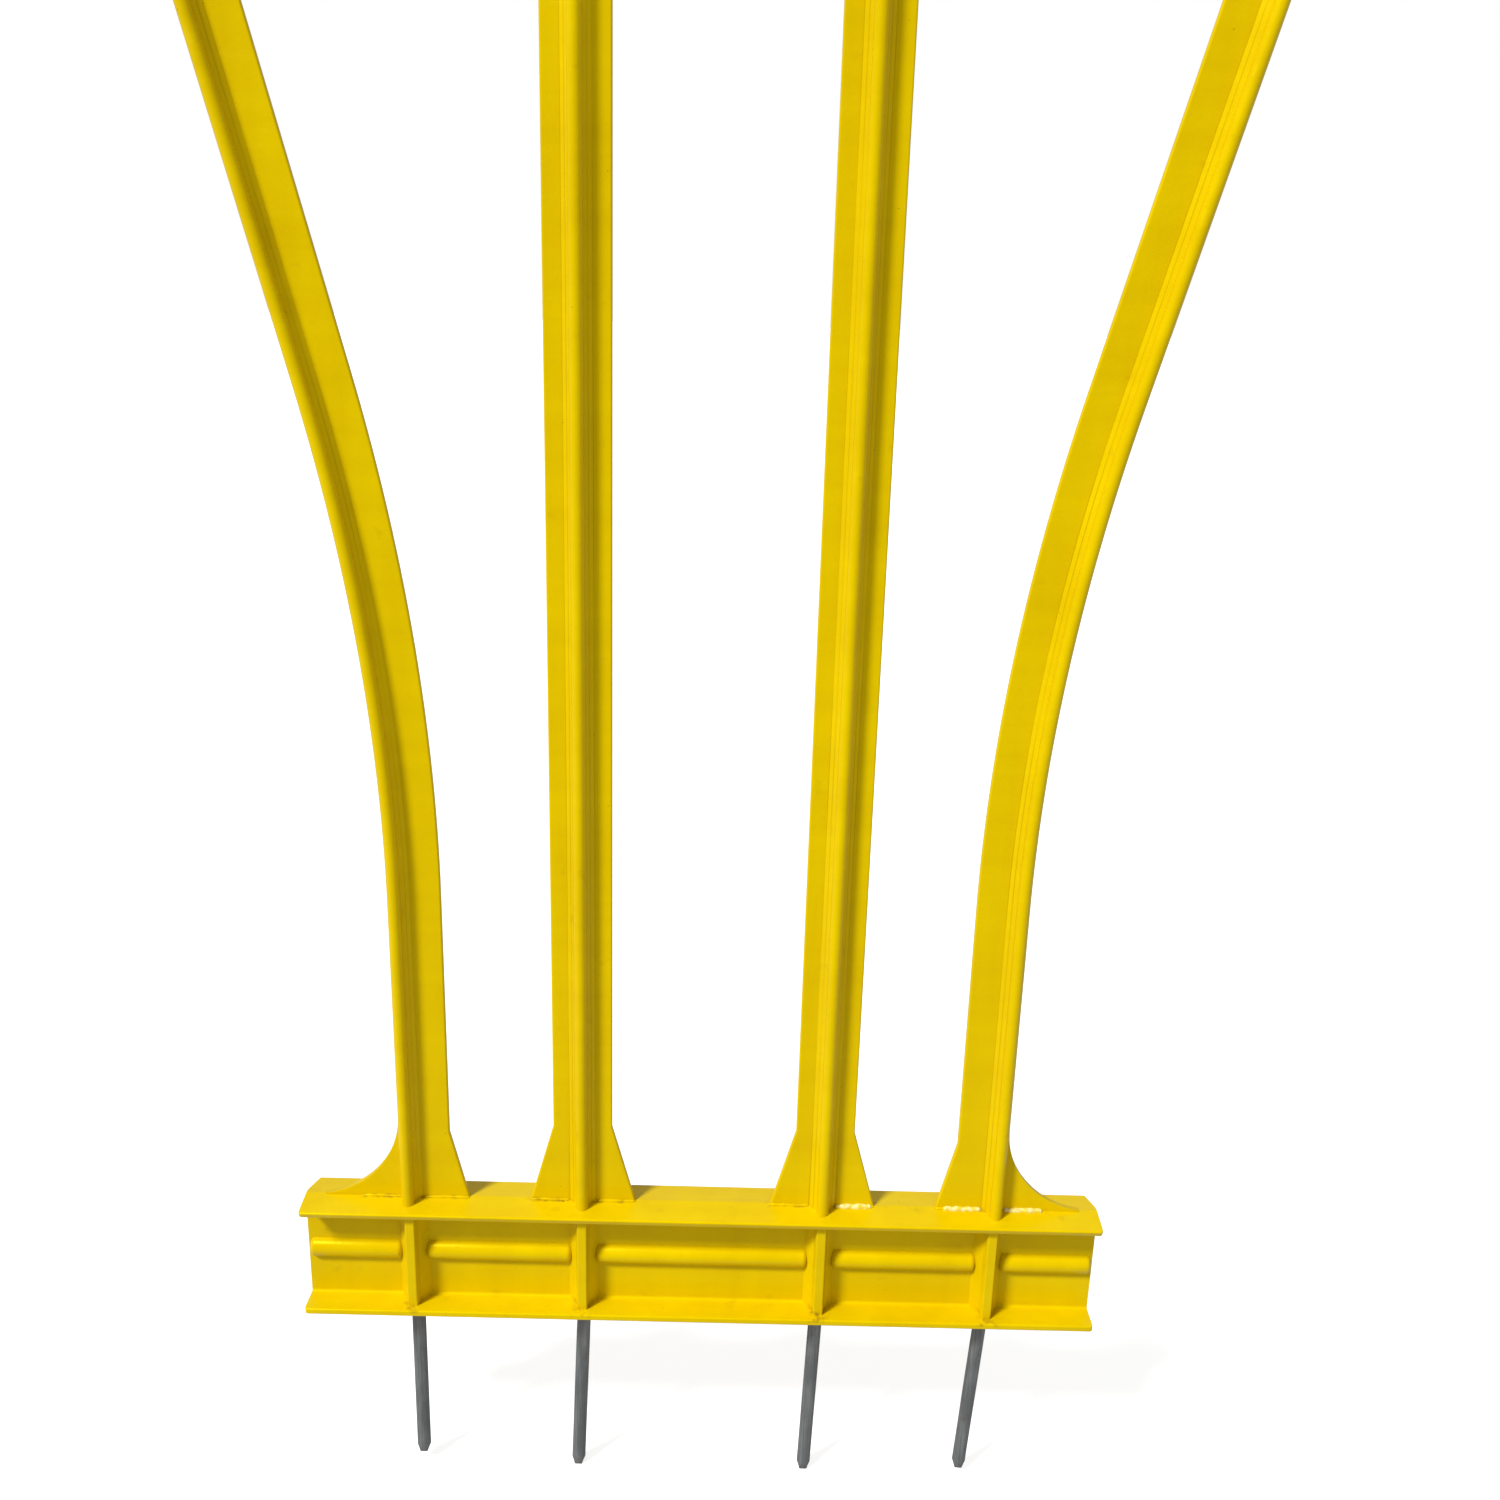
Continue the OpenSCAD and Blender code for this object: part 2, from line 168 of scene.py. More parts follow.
class ShapeTree(TreeMaker):
    """A Geometry Nodes tree with named inputs, grown on a mesh into a plain mesh."""

    title = "shape"
    shapes: Sequence[str] = ()
    sizes: Mapping[str, float] = {}

    def __init__(self) -> None:
        """Makes the tree's sockets and its nodes."""
        super().__init__(bpy.data.node_groups.new(self.title, "GeometryNodeTree"))
        face = self.tree.interface
        face.new_socket("Geometry", in_out="INPUT", socket_type="NodeSocketGeometry")
        face.new_socket("Geometry", in_out="OUTPUT", socket_type="NodeSocketGeometry")
        face.new_socket("Finish", in_out="INPUT", socket_type="NodeSocketMaterial")
        for name in self.shapes:
            face.new_socket(name, in_out="INPUT", socket_type="NodeSocketObject")
        for name, size in self.sizes.items():
            face.new_socket(name, in_out="INPUT", socket_type="NodeSocketFloat").default_value = size
        self.given = self.tree.nodes.new("NodeGroupInput").outputs
        self.finish(self.build())

    def build(self) -> Socket:
        """Makes the nodes of the shape and returns its geometry."""
        raise NotImplementedError

    def finish(self, geometry: Socket) -> None:
        """Shades the shape, realises its instances and gives it its material."""
        turn = self.add("GeometryNodeInputMeshEdgeAngle").outputs["Unsigned Angle"]
        sharp = self.add("FunctionNodeCompare", {"A": turn, "B": SMOOTH_BELOW},
                         data_type="FLOAT", operation="GREATER_THAN").outputs["Result"]
        whole = self.add("GeometryNodeRealizeInstances", {"Geometry": geometry}).outputs[0]
        soft = self.add("GeometryNodeSetShadeSmooth", {"Geometry": whole}, domain="FACE").outputs[0]
        crisp = self.add("GeometryNodeSetShadeSmooth",
                         {"Geometry": soft, "Selection": sharp, "Shade Smooth": False}, domain="EDGE")
        dressed = self.add("GeometryNodeSetMaterial",
                           {"Geometry": crisp.outputs[0], "Material": self.given["Finish"]})
        self.add("NodeGroupOutput", {"Geometry": dressed.outputs[0]})

    def shape(self, name: str) -> Socket:
        """Returns the mesh of one of the tree's shape inputs."""
        return self.add("GeometryNodeObjectInfo", {"Object": self.given[name]}).outputs["Geometry"]

    def copies(self, places: Socket, shape: Socket) -> Socket:
        """Returns a copy of a shape at every point of another."""
        copies = self.add("GeometryNodeInstanceOnPoints", {"Points": places, "Instance": shape}).outputs[0]
        return self.add("GeometryNodeRealizeInstances", {"Geometry": copies}).outputs[0]

    def store(self, geometry: Socket, name: str, kind: str, value: Socket) -> Socket:
        """Stores a field on every point of a curve and returns the curve.

        Args:
            geometry: The curve.
            name: Name of the attribute.
            kind: Its data type.
            value: The field.

        Returns:
            The curve with the attribute.
        """
        wires = {"Geometry": geometry, "Name": name, "Value": value}
        return self.add("GeometryNodeStoreNamedAttribute", wires, data_type=kind, domain="POINT").outputs[0]

    def named(self, name: str, kind: str) -> Socket:
        """Returns a stored attribute."""
        node = self.add("GeometryNodeInputNamedAttribute", {"Name": name}, data_type=kind)
        return node.outputs["Attribute"]

    def grow(self, seed: bpy.types.Mesh, finish: bpy.types.Material,
             shapes: Mapping[str, bpy.types.Mesh] | None = None,
             sizes: Mapping[str, float] | None = None) -> bpy.types.Mesh:
        """Runs the tree on a seed mesh.

        Args:
            seed: The mesh that the tree starts from.
            finish: The material of the result.
            shapes: Meshes for the tree's shape inputs, by name.
            sizes: Values of its other inputs, by name.

        Returns:
            A plain mesh with nothing left live on it.
        """
        parts = {name: bpy.data.objects.new(name, mesh) for name, mesh in (shapes or {}).items()}
        holders = [bpy.data.objects.new("seed", seed), *parts.values()]
        values: dict[str, object] = {"Finish": finish, **parts, **(sizes or {})}
        for holder in holders:
            bpy.context.scene.collection.objects.link(holder)
        modifier = holders[0].modifiers.new("shape", "NODES")
        modifier.node_group = self.tree
        for item in self.tree.interface.items_tree:
            if item.in_out == "INPUT" and item.name in values:
                modifier[item.identifier] = values[item.name]
        graph = bpy.context.evaluated_depsgraph_get()
        mesh = bpy.data.meshes.new_from_object(holders[0].evaluated_get(graph), depsgraph=graph)
        for holder in holders:
            bpy.data.objects.remove(holder)
        return mesh


# ---- Mesh helpers ----

@dataclass(frozen=True)
class Corner:
    """A corner of an outline and the radius that rounds it."""

    across: float
    out: float
    radius: float = 0.0


def rounded_outline(corners: Sequence[Corner], steps: int = 4, shoulder: float = 0.0004) -> list[Point]:
    """Rounds the corners of a closed outline.

    Args:
        corners: The corners in order.
        steps: Straight steps around each rounding.
        shoulder: Distance of the extra point that keeps the flat beside a rounding flat.

    Returns:
        The points of the rounded outline.
    """
    points: list[Point] = []
    for i, corner in enumerate(corners):
        here = Vector((corner.across, corner.out))
        ways = [Vector((other.across, other.out)) - here
                for other in (corners[i - 1], corners[(i + 1) % len(corners)])]
        if not corner.radius:
            points.append(tuple(here))
            continue
        half = ways[0].angle(ways[1]) / 2
        reach = corner.radius / math.tan(half)
        aims = [way.normalized() for way in ways]
        centre = here + (aims[0] + aims[1]).normalized() * corner.radius / math.sin(half)
        ends = [here + aim * reach for aim in aims]
        turn = (ends[1] - centre).angle_signed(ends[0] - centre)
        arm = ends[0] - centre
        arc = [centre + Matrix.Rotation(turn * k / steps, 2) @ arm for k in range(steps + 1)]
        spare = [min(shoulder, (way.length / 2 - reach) / 2) for way in ways]
        points.append(tuple(ends[0] + aims[0] * spare[0]))
        points += [tuple(point) for point in arc]
        points.append(tuple(ends[1] + aims[1] * spare[1]))
    return points


def outline_mesh(points: Sequence[Point]) -> bpy.types.Mesh:
    """Returns a closed wire of an outline, drawn in X and Y."""
    mesh = bpy.data.meshes.new("outline")
    count = len(points)
    mesh.from_pydata([(x, y, 0) for x, y in points], [(i, (i + 1) % count) for i in range(count)], [])
    return mesh


def wire_mesh(places: Sequence[Vector]) -> bpy.types.Mesh:
    """Returns an open wire through places in order."""
    mesh = bpy.data.meshes.new("wire")
    mesh.from_pydata(places, [(i, i + 1) for i in range(len(places) - 1)], [])
    return mesh


def loft(form: bmesh.types.BMesh, rings: Rings, hollow: bool = False) -> None:
    """Adds a closed solid through rings of equal length.

    Args:
        form: The mesh in work.
        rings: The rings in order.
        hollow: Whether the last ring joins the first, as around a hole, in place of two caps.
    """
    rows = [[form.verts.new(place) for place in ring] for ring in rings]
    count = len(rows[0])
    pairs = list(zip(rows, rows[1:]))
    if hollow:
        pairs.append((rows[-1], rows[0]))
    else:
        form.faces.new(rows[0][::-1])
        form.faces.new(rows[-1])
    for low, high in pairs:
        for i in range(count):
            j = (i + 1) % count
            form.faces.new((low[i], low[j], high[j], high[i]))


@contextmanager
def edited(mesh: bpy.types.Mesh) -> Iterator[bmesh.types.BMesh]:
    """Opens a mesh for editing and writes it back at the end."""
    form = bmesh.new()
    form.from_mesh(mesh)
    yield form
    form.to_mesh(mesh)
    form.free()


def face_outwards(mesh: bpy.types.Mesh) -> None:
    """Turns the faces of closed shells outwards."""
    with edited(mesh) as form:
        bmesh.ops.recalc_face_normals(form, faces=form.faces)


def solid_mesh(parts: Iterable[Rings], hollow: bool = False) -> bpy.types.Mesh:
    """Returns one mesh of separate lofted solids, faced outwards."""
    mesh = bpy.data.meshes.new("solid")
    with edited(mesh) as form:
        for rings in parts:
            loft(form, rings, hollow)
    face_outwards(mesh)
    return mesh


def turned(profile: Sequence[Point], sides: int) -> list[list[Vector]]:
    """Returns the rings of a shape turned about Z from (radius, height) points."""
    angles = [math.tau * i / sides for i in range(sides)]
    return [[Vector((r * math.cos(a), r * math.sin(a), z)) for a in angles] for r, z in profile]


def moved(rings: Rings, place: Matrix) -> list[list[Vector]]:
    """Returns rings carried to another place."""
    return [[place @ point for point in ring] for ring in rings]


def shade_by_angle(mesh: bpy.types.Mesh) -> None:
    """Shades a mesh smooth, apart from its sharp edges."""
    with edited(mesh) as form:
        for face in form.faces:
            face.smooth = True
        for edge in form.edges:
            edge.smooth = len(edge.link_faces) == 2 and edge.calc_face_angle() < SMOOTH_BELOW


def place_piece(name: str, mesh: bpy.types.Mesh, replaces: Sequence[str] = ()) -> None:
    """Puts a finished mesh into the scene as a piece.

    Args:
        name: Name of the piece.
        mesh: Its mesh, already in place.
        replaces: CAD nodes that it stands for.
    """
    mesh.name = name
    piece = bpy.data.objects.new(name, mesh)
    bpy.context.scene.collection.objects.link(piece)
    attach(piece, BODY)
    if replaces:
        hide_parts(*replaces)
    LOG.info("%s: %d faces", name, len(mesh.polygons))


# ---- Finishes ----

@dataclass(frozen=True)
class Grain:
    """A noise pattern, and the span of its values over which it shows."""

    scale: float                    # features to the metre
    detail: float = 3.0
    low: float = 0.0
    high: float = 1.0
    stretch: tuple[float, float, float] = (1, 1, 1)     # a part below 1 draws it out along that axis

    def value(self, nodes: TreeMaker, place: Socket) -> Socket:
        """Returns the noise itself."""
        spread = nodes.vector("MULTIPLY", place, self.stretch)
        wires = {"Vector": spread, "Scale": self.scale, "Detail": self.detail}
        return nodes.add("ShaderNodeTexNoise", wires).outputs[0]

    def mask(self, nodes: TreeMaker, place: Socket) -> Socket:
        """Returns 0 where the noise is below the span, 1 where it is above and a slope between."""
        return nodes.span(self.value(nodes, place), self.low, self.high)


@dataclass(frozen=True)
class Specks:
    """Round specks strewn over a surface."""

    scale: float                    # cells to the metre
    size: float                     # radius of a speck as a share of its cell
    share: float                    # share of the cells that hold a speck

    def mask(self, nodes: TreeMaker, place: Socket) -> Socket:
        """Returns 1 on a speck and 0 elsewhere."""
        cells = nodes.add("ShaderNodeTexVoronoi", {"Vector": place, "Scale": self.scale})
        near = nodes.math("LESS_THAN", cells.outputs["Distance"], self.size)
        tint = nodes.add("ShaderNodeSeparateColor", {0: cells.outputs["Color"]}).outputs[0]
        return nodes.product(near, nodes.math("LESS_THAN", tint, self.share))


@dataclass(frozen=True)
class Finish:
    """A surface finish, made of procedural nodes on Object coordinates."""

    name: str
    base: Colour
    roughness: float

    def material(self) -> bpy.types.Material:
        """Returns the finish as a new material."""
        material = bpy.data.materials.new(self.name)
        material.use_nodes = True
        nodes = TreeMaker(material.node_tree)
        place = nodes.add("ShaderNodeTexCoord").outputs["Object"]
        nodes.wire(material.node_tree.nodes["Principled BSDF"], self.dress(nodes, place))
        return material

    def dress(self, nodes: TreeMaker, place: Socket) -> dict[str, object]:
        """Makes the finish's own nodes and returns what goes into each input of the shader.

        Args:
            nodes: The material's tree.
            place: Where its patterns are read.

        Returns:
            A socket or a value for each of the shader's inputs.
        """
        raise NotImplementedError

    @staticmethod
    def blend(nodes: TreeMaker, amount: Socket, first: object, second: object) -> Socket:
        """Returns a mix of two colours."""
        wires = {0: amount, 6: first, 7: second}
        return nodes.add("ShaderNodeMix", wires, data_type="RGBA").outputs[2]

    @staticmethod
    def bump(nodes: TreeMaker, height: Socket, depth: float) -> Socket:
        """Returns the normals of a surface raised by a height field of the given depth in metres."""
        wires = {"Height": height, "Distance": depth, "Strength": 1.0}
        return nodes.add("ShaderNodeBump", wires).outputs[0]


@dataclass(frozen=True)
class MouldedPlastic(Finish):
    """Glossy moulded polypropylene, with faint flow marks, scuffs, specks, dirt and painted shade along the
    creases of the bars' ribs.
    """

    deep: Colour = (0.63, 0.43, 0.0, 1.0)
    dirt: Colour = (0.20, 0.10, 0.01, 1.0)
    speck: Colour = (0.06, 0.035, 0.01, 1.0)
    # painted shade: a darker copy of the plastic, drawn in the creases of the bars' ribs
    line: Colour = (0.40, 0.26, 0.0, 1.0)
    sheen_tint: Colour = (1.0, 0.84, 0.02, 1.0)
    ior: float = 1.49
    cloud: Grain = Grain(14.0, 4.0)
    cloud_weight: float = 0.4
    flow_up: Grain = Grain(90.0, stretch=(1, 1, 0.08))
    flow_along: Grain = Grain(90.0, stretch=(0.08, 1, 1))
    flow_weight: float = 0.3
    tone: Span = (0.38, 0.66)
    smears: Grain = Grain(90.0, 5.0, 0.66, 0.80)
    smear_strength: float = 0.22
    dots: Specks = Specks(55.0, 0.025, 0.16)
    dust: Specks = Specks(210.0, 0.06, 0.05)
    dust_strength: float = 0.5
    scuffs: Grain = Grain(130.0, 6.0, 0.56, 0.78, (0.25, 1, 1))
    scuff_dulls: float = 0.28       # what a scuff adds to the roughness
    mark_dulls: float = 0.3         # what a speck adds to it
    scuff_relief: float = 0.5
    peel: Grain = Grain(420.0, 2.0)
    relief: float = 0.00006
    seam_height: float = 0.0600     # where the bars stand on the base rail
    sill_height: float = 0.0038     # top of the base rail's lower flange
    rib_x: tuple[float, float] = (0.0603, 0.1465)
    joint_fade: Span = (0.0004, 0.0026)     # where dirt thins out above and below a joint
    plate_fade: Span = (0.0022, 0.0036)     # and in front of a bar's plate
    foot_fade: Span = (0.022, 0.030)        # and beside the middle of a foot
    rib_fade: Span = (0.0024, 0.0060)       # and beside a rail's rib
    dirt_patches: Grain = Grain(240.0, 4.0, 0.46, 0.70)
    dirt_strength: float = 0.8
    # where the painted crease shade lies across a bar, how sharply it fades, where it breaks and how dark it
    # is
    crease_shade_offsets: tuple[float, float] = (0.0065, 0.0046)
    crease_shade_fade: Span = (0.00010, 0.00032)
    crease_shade_gaps: Grain = Grain(30.0, 3.0, 0.25, 0.60, (1, 1, 0.3))
    crease_shade_strength: float = 0.55

    def grime(self, nodes: TreeMaker, place: Socket) -> Socket:
        """Returns a mask of the dirt that gathers at the bars' feet and the ribs' lower ends."""
        x, y, z = nodes.axes(place)
        aside, off_plate = nodes.math("ABSOLUTE", x), nodes.math("ABSOLUTE", y)
        off_rib = nodes.math("MINIMUM", *(nodes.gap(aside, rib) for rib in self.rib_x))
        off_seam, off_sill = (nodes.span(nodes.gap(z, height), *self.joint_fade)
                              for height in (self.seam_height, self.sill_height))
        off_foot = nodes.math("MAXIMUM", nodes.span(off_plate, *self.plate_fade),
                              nodes.span(off_rib, *self.foot_fade))
        seam = nodes.math("MAXIMUM", off_seam, off_foot)
        sill = nodes.math("MAXIMUM", nodes.span(off_rib, *self.rib_fade), off_sill)
        near = nodes.flipped(nodes.math("MINIMUM", seam, sill))
        return nodes.product(near, self.dirt_patches.mask(nodes, place), self.dirt_strength)

    def painted_crease_shade(self, nodes: TreeMaker, place: Socket) -> Socket:
        """Returns a mask of painted shade: thin darker lines along the creases at the root and on the flank
        of a bar's rib.
        """
        section = nodes.add("ShaderNodeAttribute", attribute_name="section").outputs["Vector"]
        aside = nodes.math("ABSOLUTE", nodes.axes(section)[0])
        off_line = nodes.math("MINIMUM", *(nodes.gap(aside, line) for line in self.crease_shade_offsets))
        line = nodes.flipped(nodes.span(off_line, *self.crease_shade_fade))
        return nodes.product(line, self.crease_shade_gaps.mask(nodes, place), self.crease_shade_strength)

    def colour(self, nodes: TreeMaker, place: Socket, marks: Socket) -> Socket:
        """Returns the colour: flow marks under the painted shade of the ribs' creases, dirt, smears and
        specks.

        Args:
            nodes: The material's tree.
            place: Where the patterns are read.
            marks: The mask of the specks.

        Returns:
            The surface's colour.
        """
        flow = nodes.product(nodes.math("ADD", self.flow_up.value(nodes, place),
                                        self.flow_along.value(nodes, place)), self.flow_weight)
        cloud = nodes.math("MULTIPLY_ADD", self.cloud.value(nodes, place), self.cloud_weight, flow)
        colour = self.blend(nodes, nodes.span(cloud, *self.tone), self.base, self.deep)
        smears = nodes.product(self.smears.mask(nodes, place), self.smear_strength)
        # the first layer is painted shade in the creases of the bars' ribs
        layers = [(self.painted_crease_shade(nodes, place), self.line), (self.grime(nodes, place), self.dirt),
                  (smears, self.dirt), (marks, self.speck)]
        for mask, tint in layers:
            colour = self.blend(nodes, mask, colour, tint)
        return colour

    def dress(self, nodes: TreeMaker, place: Socket) -> dict[str, object]:
        """Returns the colour, gloss and fine relief of a moulded surface."""
        dust = nodes.product(self.dust.mask(nodes, place), self.dust_strength)
        marks = nodes.math("MAXIMUM", self.dots.mask(nodes, place), dust)
        scuffs = self.scuffs.mask(nodes, place)
        gloss = nodes.math("MULTIPLY_ADD", scuffs, self.scuff_dulls, self.roughness)
        fine = nodes.math("MULTIPLY_ADD", scuffs, self.scuff_relief, self.peel.value(nodes, place))
        return {
            "Base Color": self.colour(nodes, place, marks),
            "Roughness": nodes.math("MULTIPLY_ADD", marks, self.mark_dulls, gloss),
            "Specular Tint": self.sheen_tint,
            "IOR": self.ior,
            "Normal": self.bump(nodes, fine, self.relief),
        }


@dataclass(frozen=True)
class PaintedHighlightWeld(Finish):
    """Glossy weld plastic whose pale patches are painted highlight: the glint on the beads drawn into their
    colour.
    """

    # painted highlight: the pale colour stands in for the glint on the weld beads
    pale: Colour = (0.78, 0.70, 0.32, 1.0)
    patches: Grain = Grain(420.0, 3.0, 0.42, 0.58)
    sheen: Grain = Grain(700.0)
    sheen_dulls: float = 0.25
    lumps: Grain = Grain(900.0, 4.0)
    relief: float = 0.0002

    def dress(self, nodes: TreeMaker, place: Socket) -> dict[str, object]:
        """Returns a lumpy gloss, and a colour with pale patches of painted highlight."""
        sheen = self.sheen.value(nodes, place)
        return {
            "Base Color": self.blend(nodes, self.patches.mask(nodes, place), self.base, self.pale),
            "Roughness": nodes.math("MULTIPLY_ADD", sheen, self.sheen_dulls, self.roughness),
            "Normal": self.bump(nodes, self.lumps.value(nodes, place), self.relief),
        }


@dataclass(frozen=True)
class DrawnSteel(Finish):
    """Dark drawn bar, with die lines along it and bright wear."""

    worn: Colour = (0.22, 0.228, 0.232, 1.0)
    rust: Colour = (0.13, 0.06, 0.03, 1.0)
    metallic: float = 0.5
    die_lines: Grain = Grain(900.0, stretch=(1, 1, 0.03))
    patches: Grain = Grain(160.0, 5.0, stretch=(1, 1, 0.35))
    wear: Span = (0.44, 0.66)
    stains: Grain = Grain(95.0, 6.0, 0.62, 0.74)
    stain_strength: float = 0.5
    stain_dulls: float = 0.25
    patch_relief: float = 0.6
    relief: float = 0.00004

    def dress(self, nodes: TreeMaker, place: Socket) -> dict[str, object]:
        """Returns die lines, worn patches and a trace of rust."""
        lines, patches = self.die_lines.value(nodes, place), self.patches.value(nodes, place)
        evenly = nodes.math("ADD", nodes.product(lines, 0.5), nodes.product(patches, 0.5))
        stain = self.stains.mask(nodes, place)
        colour = self.blend(nodes, nodes.span(evenly, *self.wear), self.base, self.worn)
        height = nodes.math("ADD", lines, nodes.product(patches, self.patch_relief))
        return {
            "Base Color": self.blend(nodes, nodes.product(stain, self.stain_strength), colour, self.rust),
            "Roughness": nodes.math("MULTIPLY_ADD", nodes.math("MAXIMUM", stain, lines),
                                    self.stain_dulls, self.roughness),
            "Metallic": self.metallic,
            "Normal": self.bump(nodes, height, self.relief),
        }


@dataclass(frozen=True)
class ZincPlate(Finish):
    """Bright zinc plating with a faint spangle and handling marks."""

    dull: Colour = (0.40, 0.41, 0.43, 1.0)
    spangle: Grain = Grain(700.0, 4.0)
    spangle_span: Span = (0.4, 0.7)
    marks: Grain = Grain(1500.0, 5.0, 0.5, 0.7)
    mark_dulls: float = 0.3
    relief: float = 0.00004

    def dress(self, nodes: TreeMaker, place: Socket) -> dict[str, object]:
        """Returns the spangle and the marks."""
        spangle, marks = self.spangle.value(nodes, place), self.marks.mask(nodes, place)
        return {
            "Base Color": self.blend(nodes, nodes.span(spangle, *self.spangle_span), self.base, self.dull),
            "Roughness": nodes.math("MULTIPLY_ADD", marks, self.mark_dulls, self.roughness),
            "Metallic": 1.0,
            "Normal": self.bump(nodes, spangle, self.relief),
        }


@dataclass(frozen=True)
class StudioFloor(Finish):
    """Matt pale studio floor that looks brighter than the light it throws back up."""

    glow: Colour = (0.75, 0.75, 0.75, 1.0)
    cloud: Grain = Grain(1.5, 3.0, 0.3, 0.7)
    cloud_tone: float = 0.97
    specular: float = 0.1

    def dress(self, nodes: TreeMaker, place: Socket) -> dict[str, object]:
        """Returns a faint cloud, and a glow that only the camera meets."""
        faint = tuple(self.cloud_tone * c for c in self.base[:3]) + (1.0,)
        return {
            "Base Color": self.blend(nodes, self.cloud.mask(nodes, place), self.base, faint),
            "Roughness": self.roughness,
            "Specular IOR Level": self.specular,
            "Emission Color": self.glow,
            "Emission Strength": nodes.add("ShaderNodeLightPath").outputs["Is Camera Ray"],
        }


@dataclass
class Finishes:
    """Every material of the dummy, each made once."""

    plastic: bpy.types.Material = field(init=False)
    weld: bpy.types.Material = field(init=False)
    spike: bpy.types.Material = field(init=False)
    zinc: bpy.types.Material = field(init=False)

    def __post_init__(self) -> None:
        """Makes the materials."""
        self.plastic = MouldedPlastic("yellow_plastic", (0.71, 0.51, 0.0, 1.0), 0.30).material()
        # the weld finish paints a highlight into its colour
        self.weld = PaintedHighlightWeld("plastic_weld", (0.74, 0.55, 0.03, 1.0), 0.14).material()
        self.spike = DrawnSteel("spike_steel", (0.125, 0.133, 0.137, 1.0), 0.38).material()
        self.zinc = ZincPlate("zinc_steel", (0.66, 0.67, 0.69, 1.0), 0.22).material()


# ---- Bars ----

@dataclass(frozen=True)
class BarSection:
    """Section of a bar: a flat plate with a rib and rounded nose on both faces."""

    inside: float
    outside: float
    plate_t: float = 0.003
    rib_root: float = 0.0128
    nose_r: float = 0.0031
    nose_reach: float = 0.0097
    neck_half: float = 0.002
    neck_drop: float = 0.0011
    edge_r: float = 0.0008
    edge_share: float = 0.4         # most of the flat beside the rib that the edge's rounding takes up
    root_r: float = 0.0005
    notch_r: float = 0.00025
    rim: float = 0.0005             # least flat left between the rib and the plate's edge

    def root(self, width: float) -> float:
        """Returns where the rib springs from the plate, on the side of the given width."""
        return min(self.rib_root / 2, width - self.rim)

    def edge(self, width: float) -> float:
        """Returns the radius of the plate's edge, on the side of the given width."""
        return min(self.edge_r, (width - self.root(width)) * self.edge_share)

    def notch(self, root: float) -> Vector:
        """Returns where the flank of the rib meets the round of its nose.

        Args:
            root: Where the flank springs from the plate.

        Returns:
            A point of the section.
        """
        centre = Vector((0, self.nose_reach - self.nose_r))
        start = Vector((root, self.plate_t / 2)) - centre
        way = Vector((self.neck_half, -self.neck_drop)) - start
        a, b, c = way.dot(way), 2 * start.dot(way), start.dot(start) - self.nose_r ** 2
        share = (-b - math.sqrt(b * b - 4 * a * c)) / (2 * a)
        return centre + start + way * share

    def outline(self, nose_steps: int = 13) -> list[Point]:
        """Returns the rounded outline, with X across the bar and Y out of its front.

        Args:
            nose_steps: Straight steps around the nose.

        Returns:
            The points in order.
        """
        half = self.plate_t / 2
        right, left = self.notch(self.root(self.outside)), self.notch(self.root(self.inside))
        centre = Vector((0, self.nose_reach - self.nose_r))
        first = math.atan2(right.y - centre.y, right.x)
        last = math.atan2(left.y - centre.y, -left.x) % math.tau
        nose = [centre + self.nose_r * Vector((math.cos(a), math.sin(a)))
                for a in (first + (last - first) * k / nose_steps for k in range(1, nose_steps))]
        out_root, in_root = self.root(self.outside), self.root(self.inside)
        front = [
            Corner(self.outside, half, self.edge(self.outside)),
            Corner(out_root, half, min(self.root_r, self.edge(self.outside))),
            Corner(right.x, right.y, self.notch_r),
            *(Corner(point.x, point.y) for point in nose),
            Corner(-left.x, left.y, self.notch_r),
            Corner(-in_root, half, self.root_r),
            Corner(-self.inside, half, self.edge(self.inside)),
        ]
        back = [Corner(corner.across, -corner.out, corner.radius) for corner in reversed(front)]
        return rounded_outline(front + back)


class BarPath:
    """The line of a bar's rib: straight stretches and bends, starting upwards."""

    def __init__(self, x: float, z: float) -> None:
        """Starts at a place on the right-hand side of the figure."""
        self.place = Vector((x, 0, z))
        self.lean = 0.0
        self.places = [self.place.copy()]

    def line(self, length: float, stops: Sequence[float] = ()) -> "BarPath":
        """Goes straight on, with extra stops at the given distances.

        Args:
            length: How far to go.
            stops: Distances of the extra stops.

        Returns:
            The path itself.
        """
        way = Vector((math.sin(self.lean), 0, math.cos(self.lean)))
        for distance in [*sorted(stops), length]:
            self.places.append(self.place + way * distance)
        self.place = self.places[-1].copy()
        return self

    def bend(self, radius: float, degrees: float, steps: int) -> "BarPath":
        """Bends by an angle, outwards where it is above 0 and inwards below.

        Args:
            radius: Radius of the bend.
            degrees: Its angle.
            steps: Straight steps around it.

        Returns:
            The path itself.
        """
        angle, way = math.radians(abs(degrees)), math.copysign(1, degrees)
        start, lean = self.place.copy(), self.lean
        for k in range(1, steps + 1):
            turn = angle * k / steps
            aside, ahead = way * radius * (1 - math.cos(turn)), radius * math.sin(turn)
            self.places.append(start + Vector((aside * math.cos(lean) + ahead * math.sin(lean), 0,
                                               ahead * math.cos(lean) - aside * math.sin(lean))))
        self.place, self.lean = self.places[-1].copy(), lean + way * angle
        return self

    def wire(self, hand: int) -> bpy.types.Mesh:
        """Returns the path as a wire, on the right with hand 1 or on the left with -1."""
        return wire_mesh([Vector((hand * p.x, p.y, p.z)) for p in self.places])


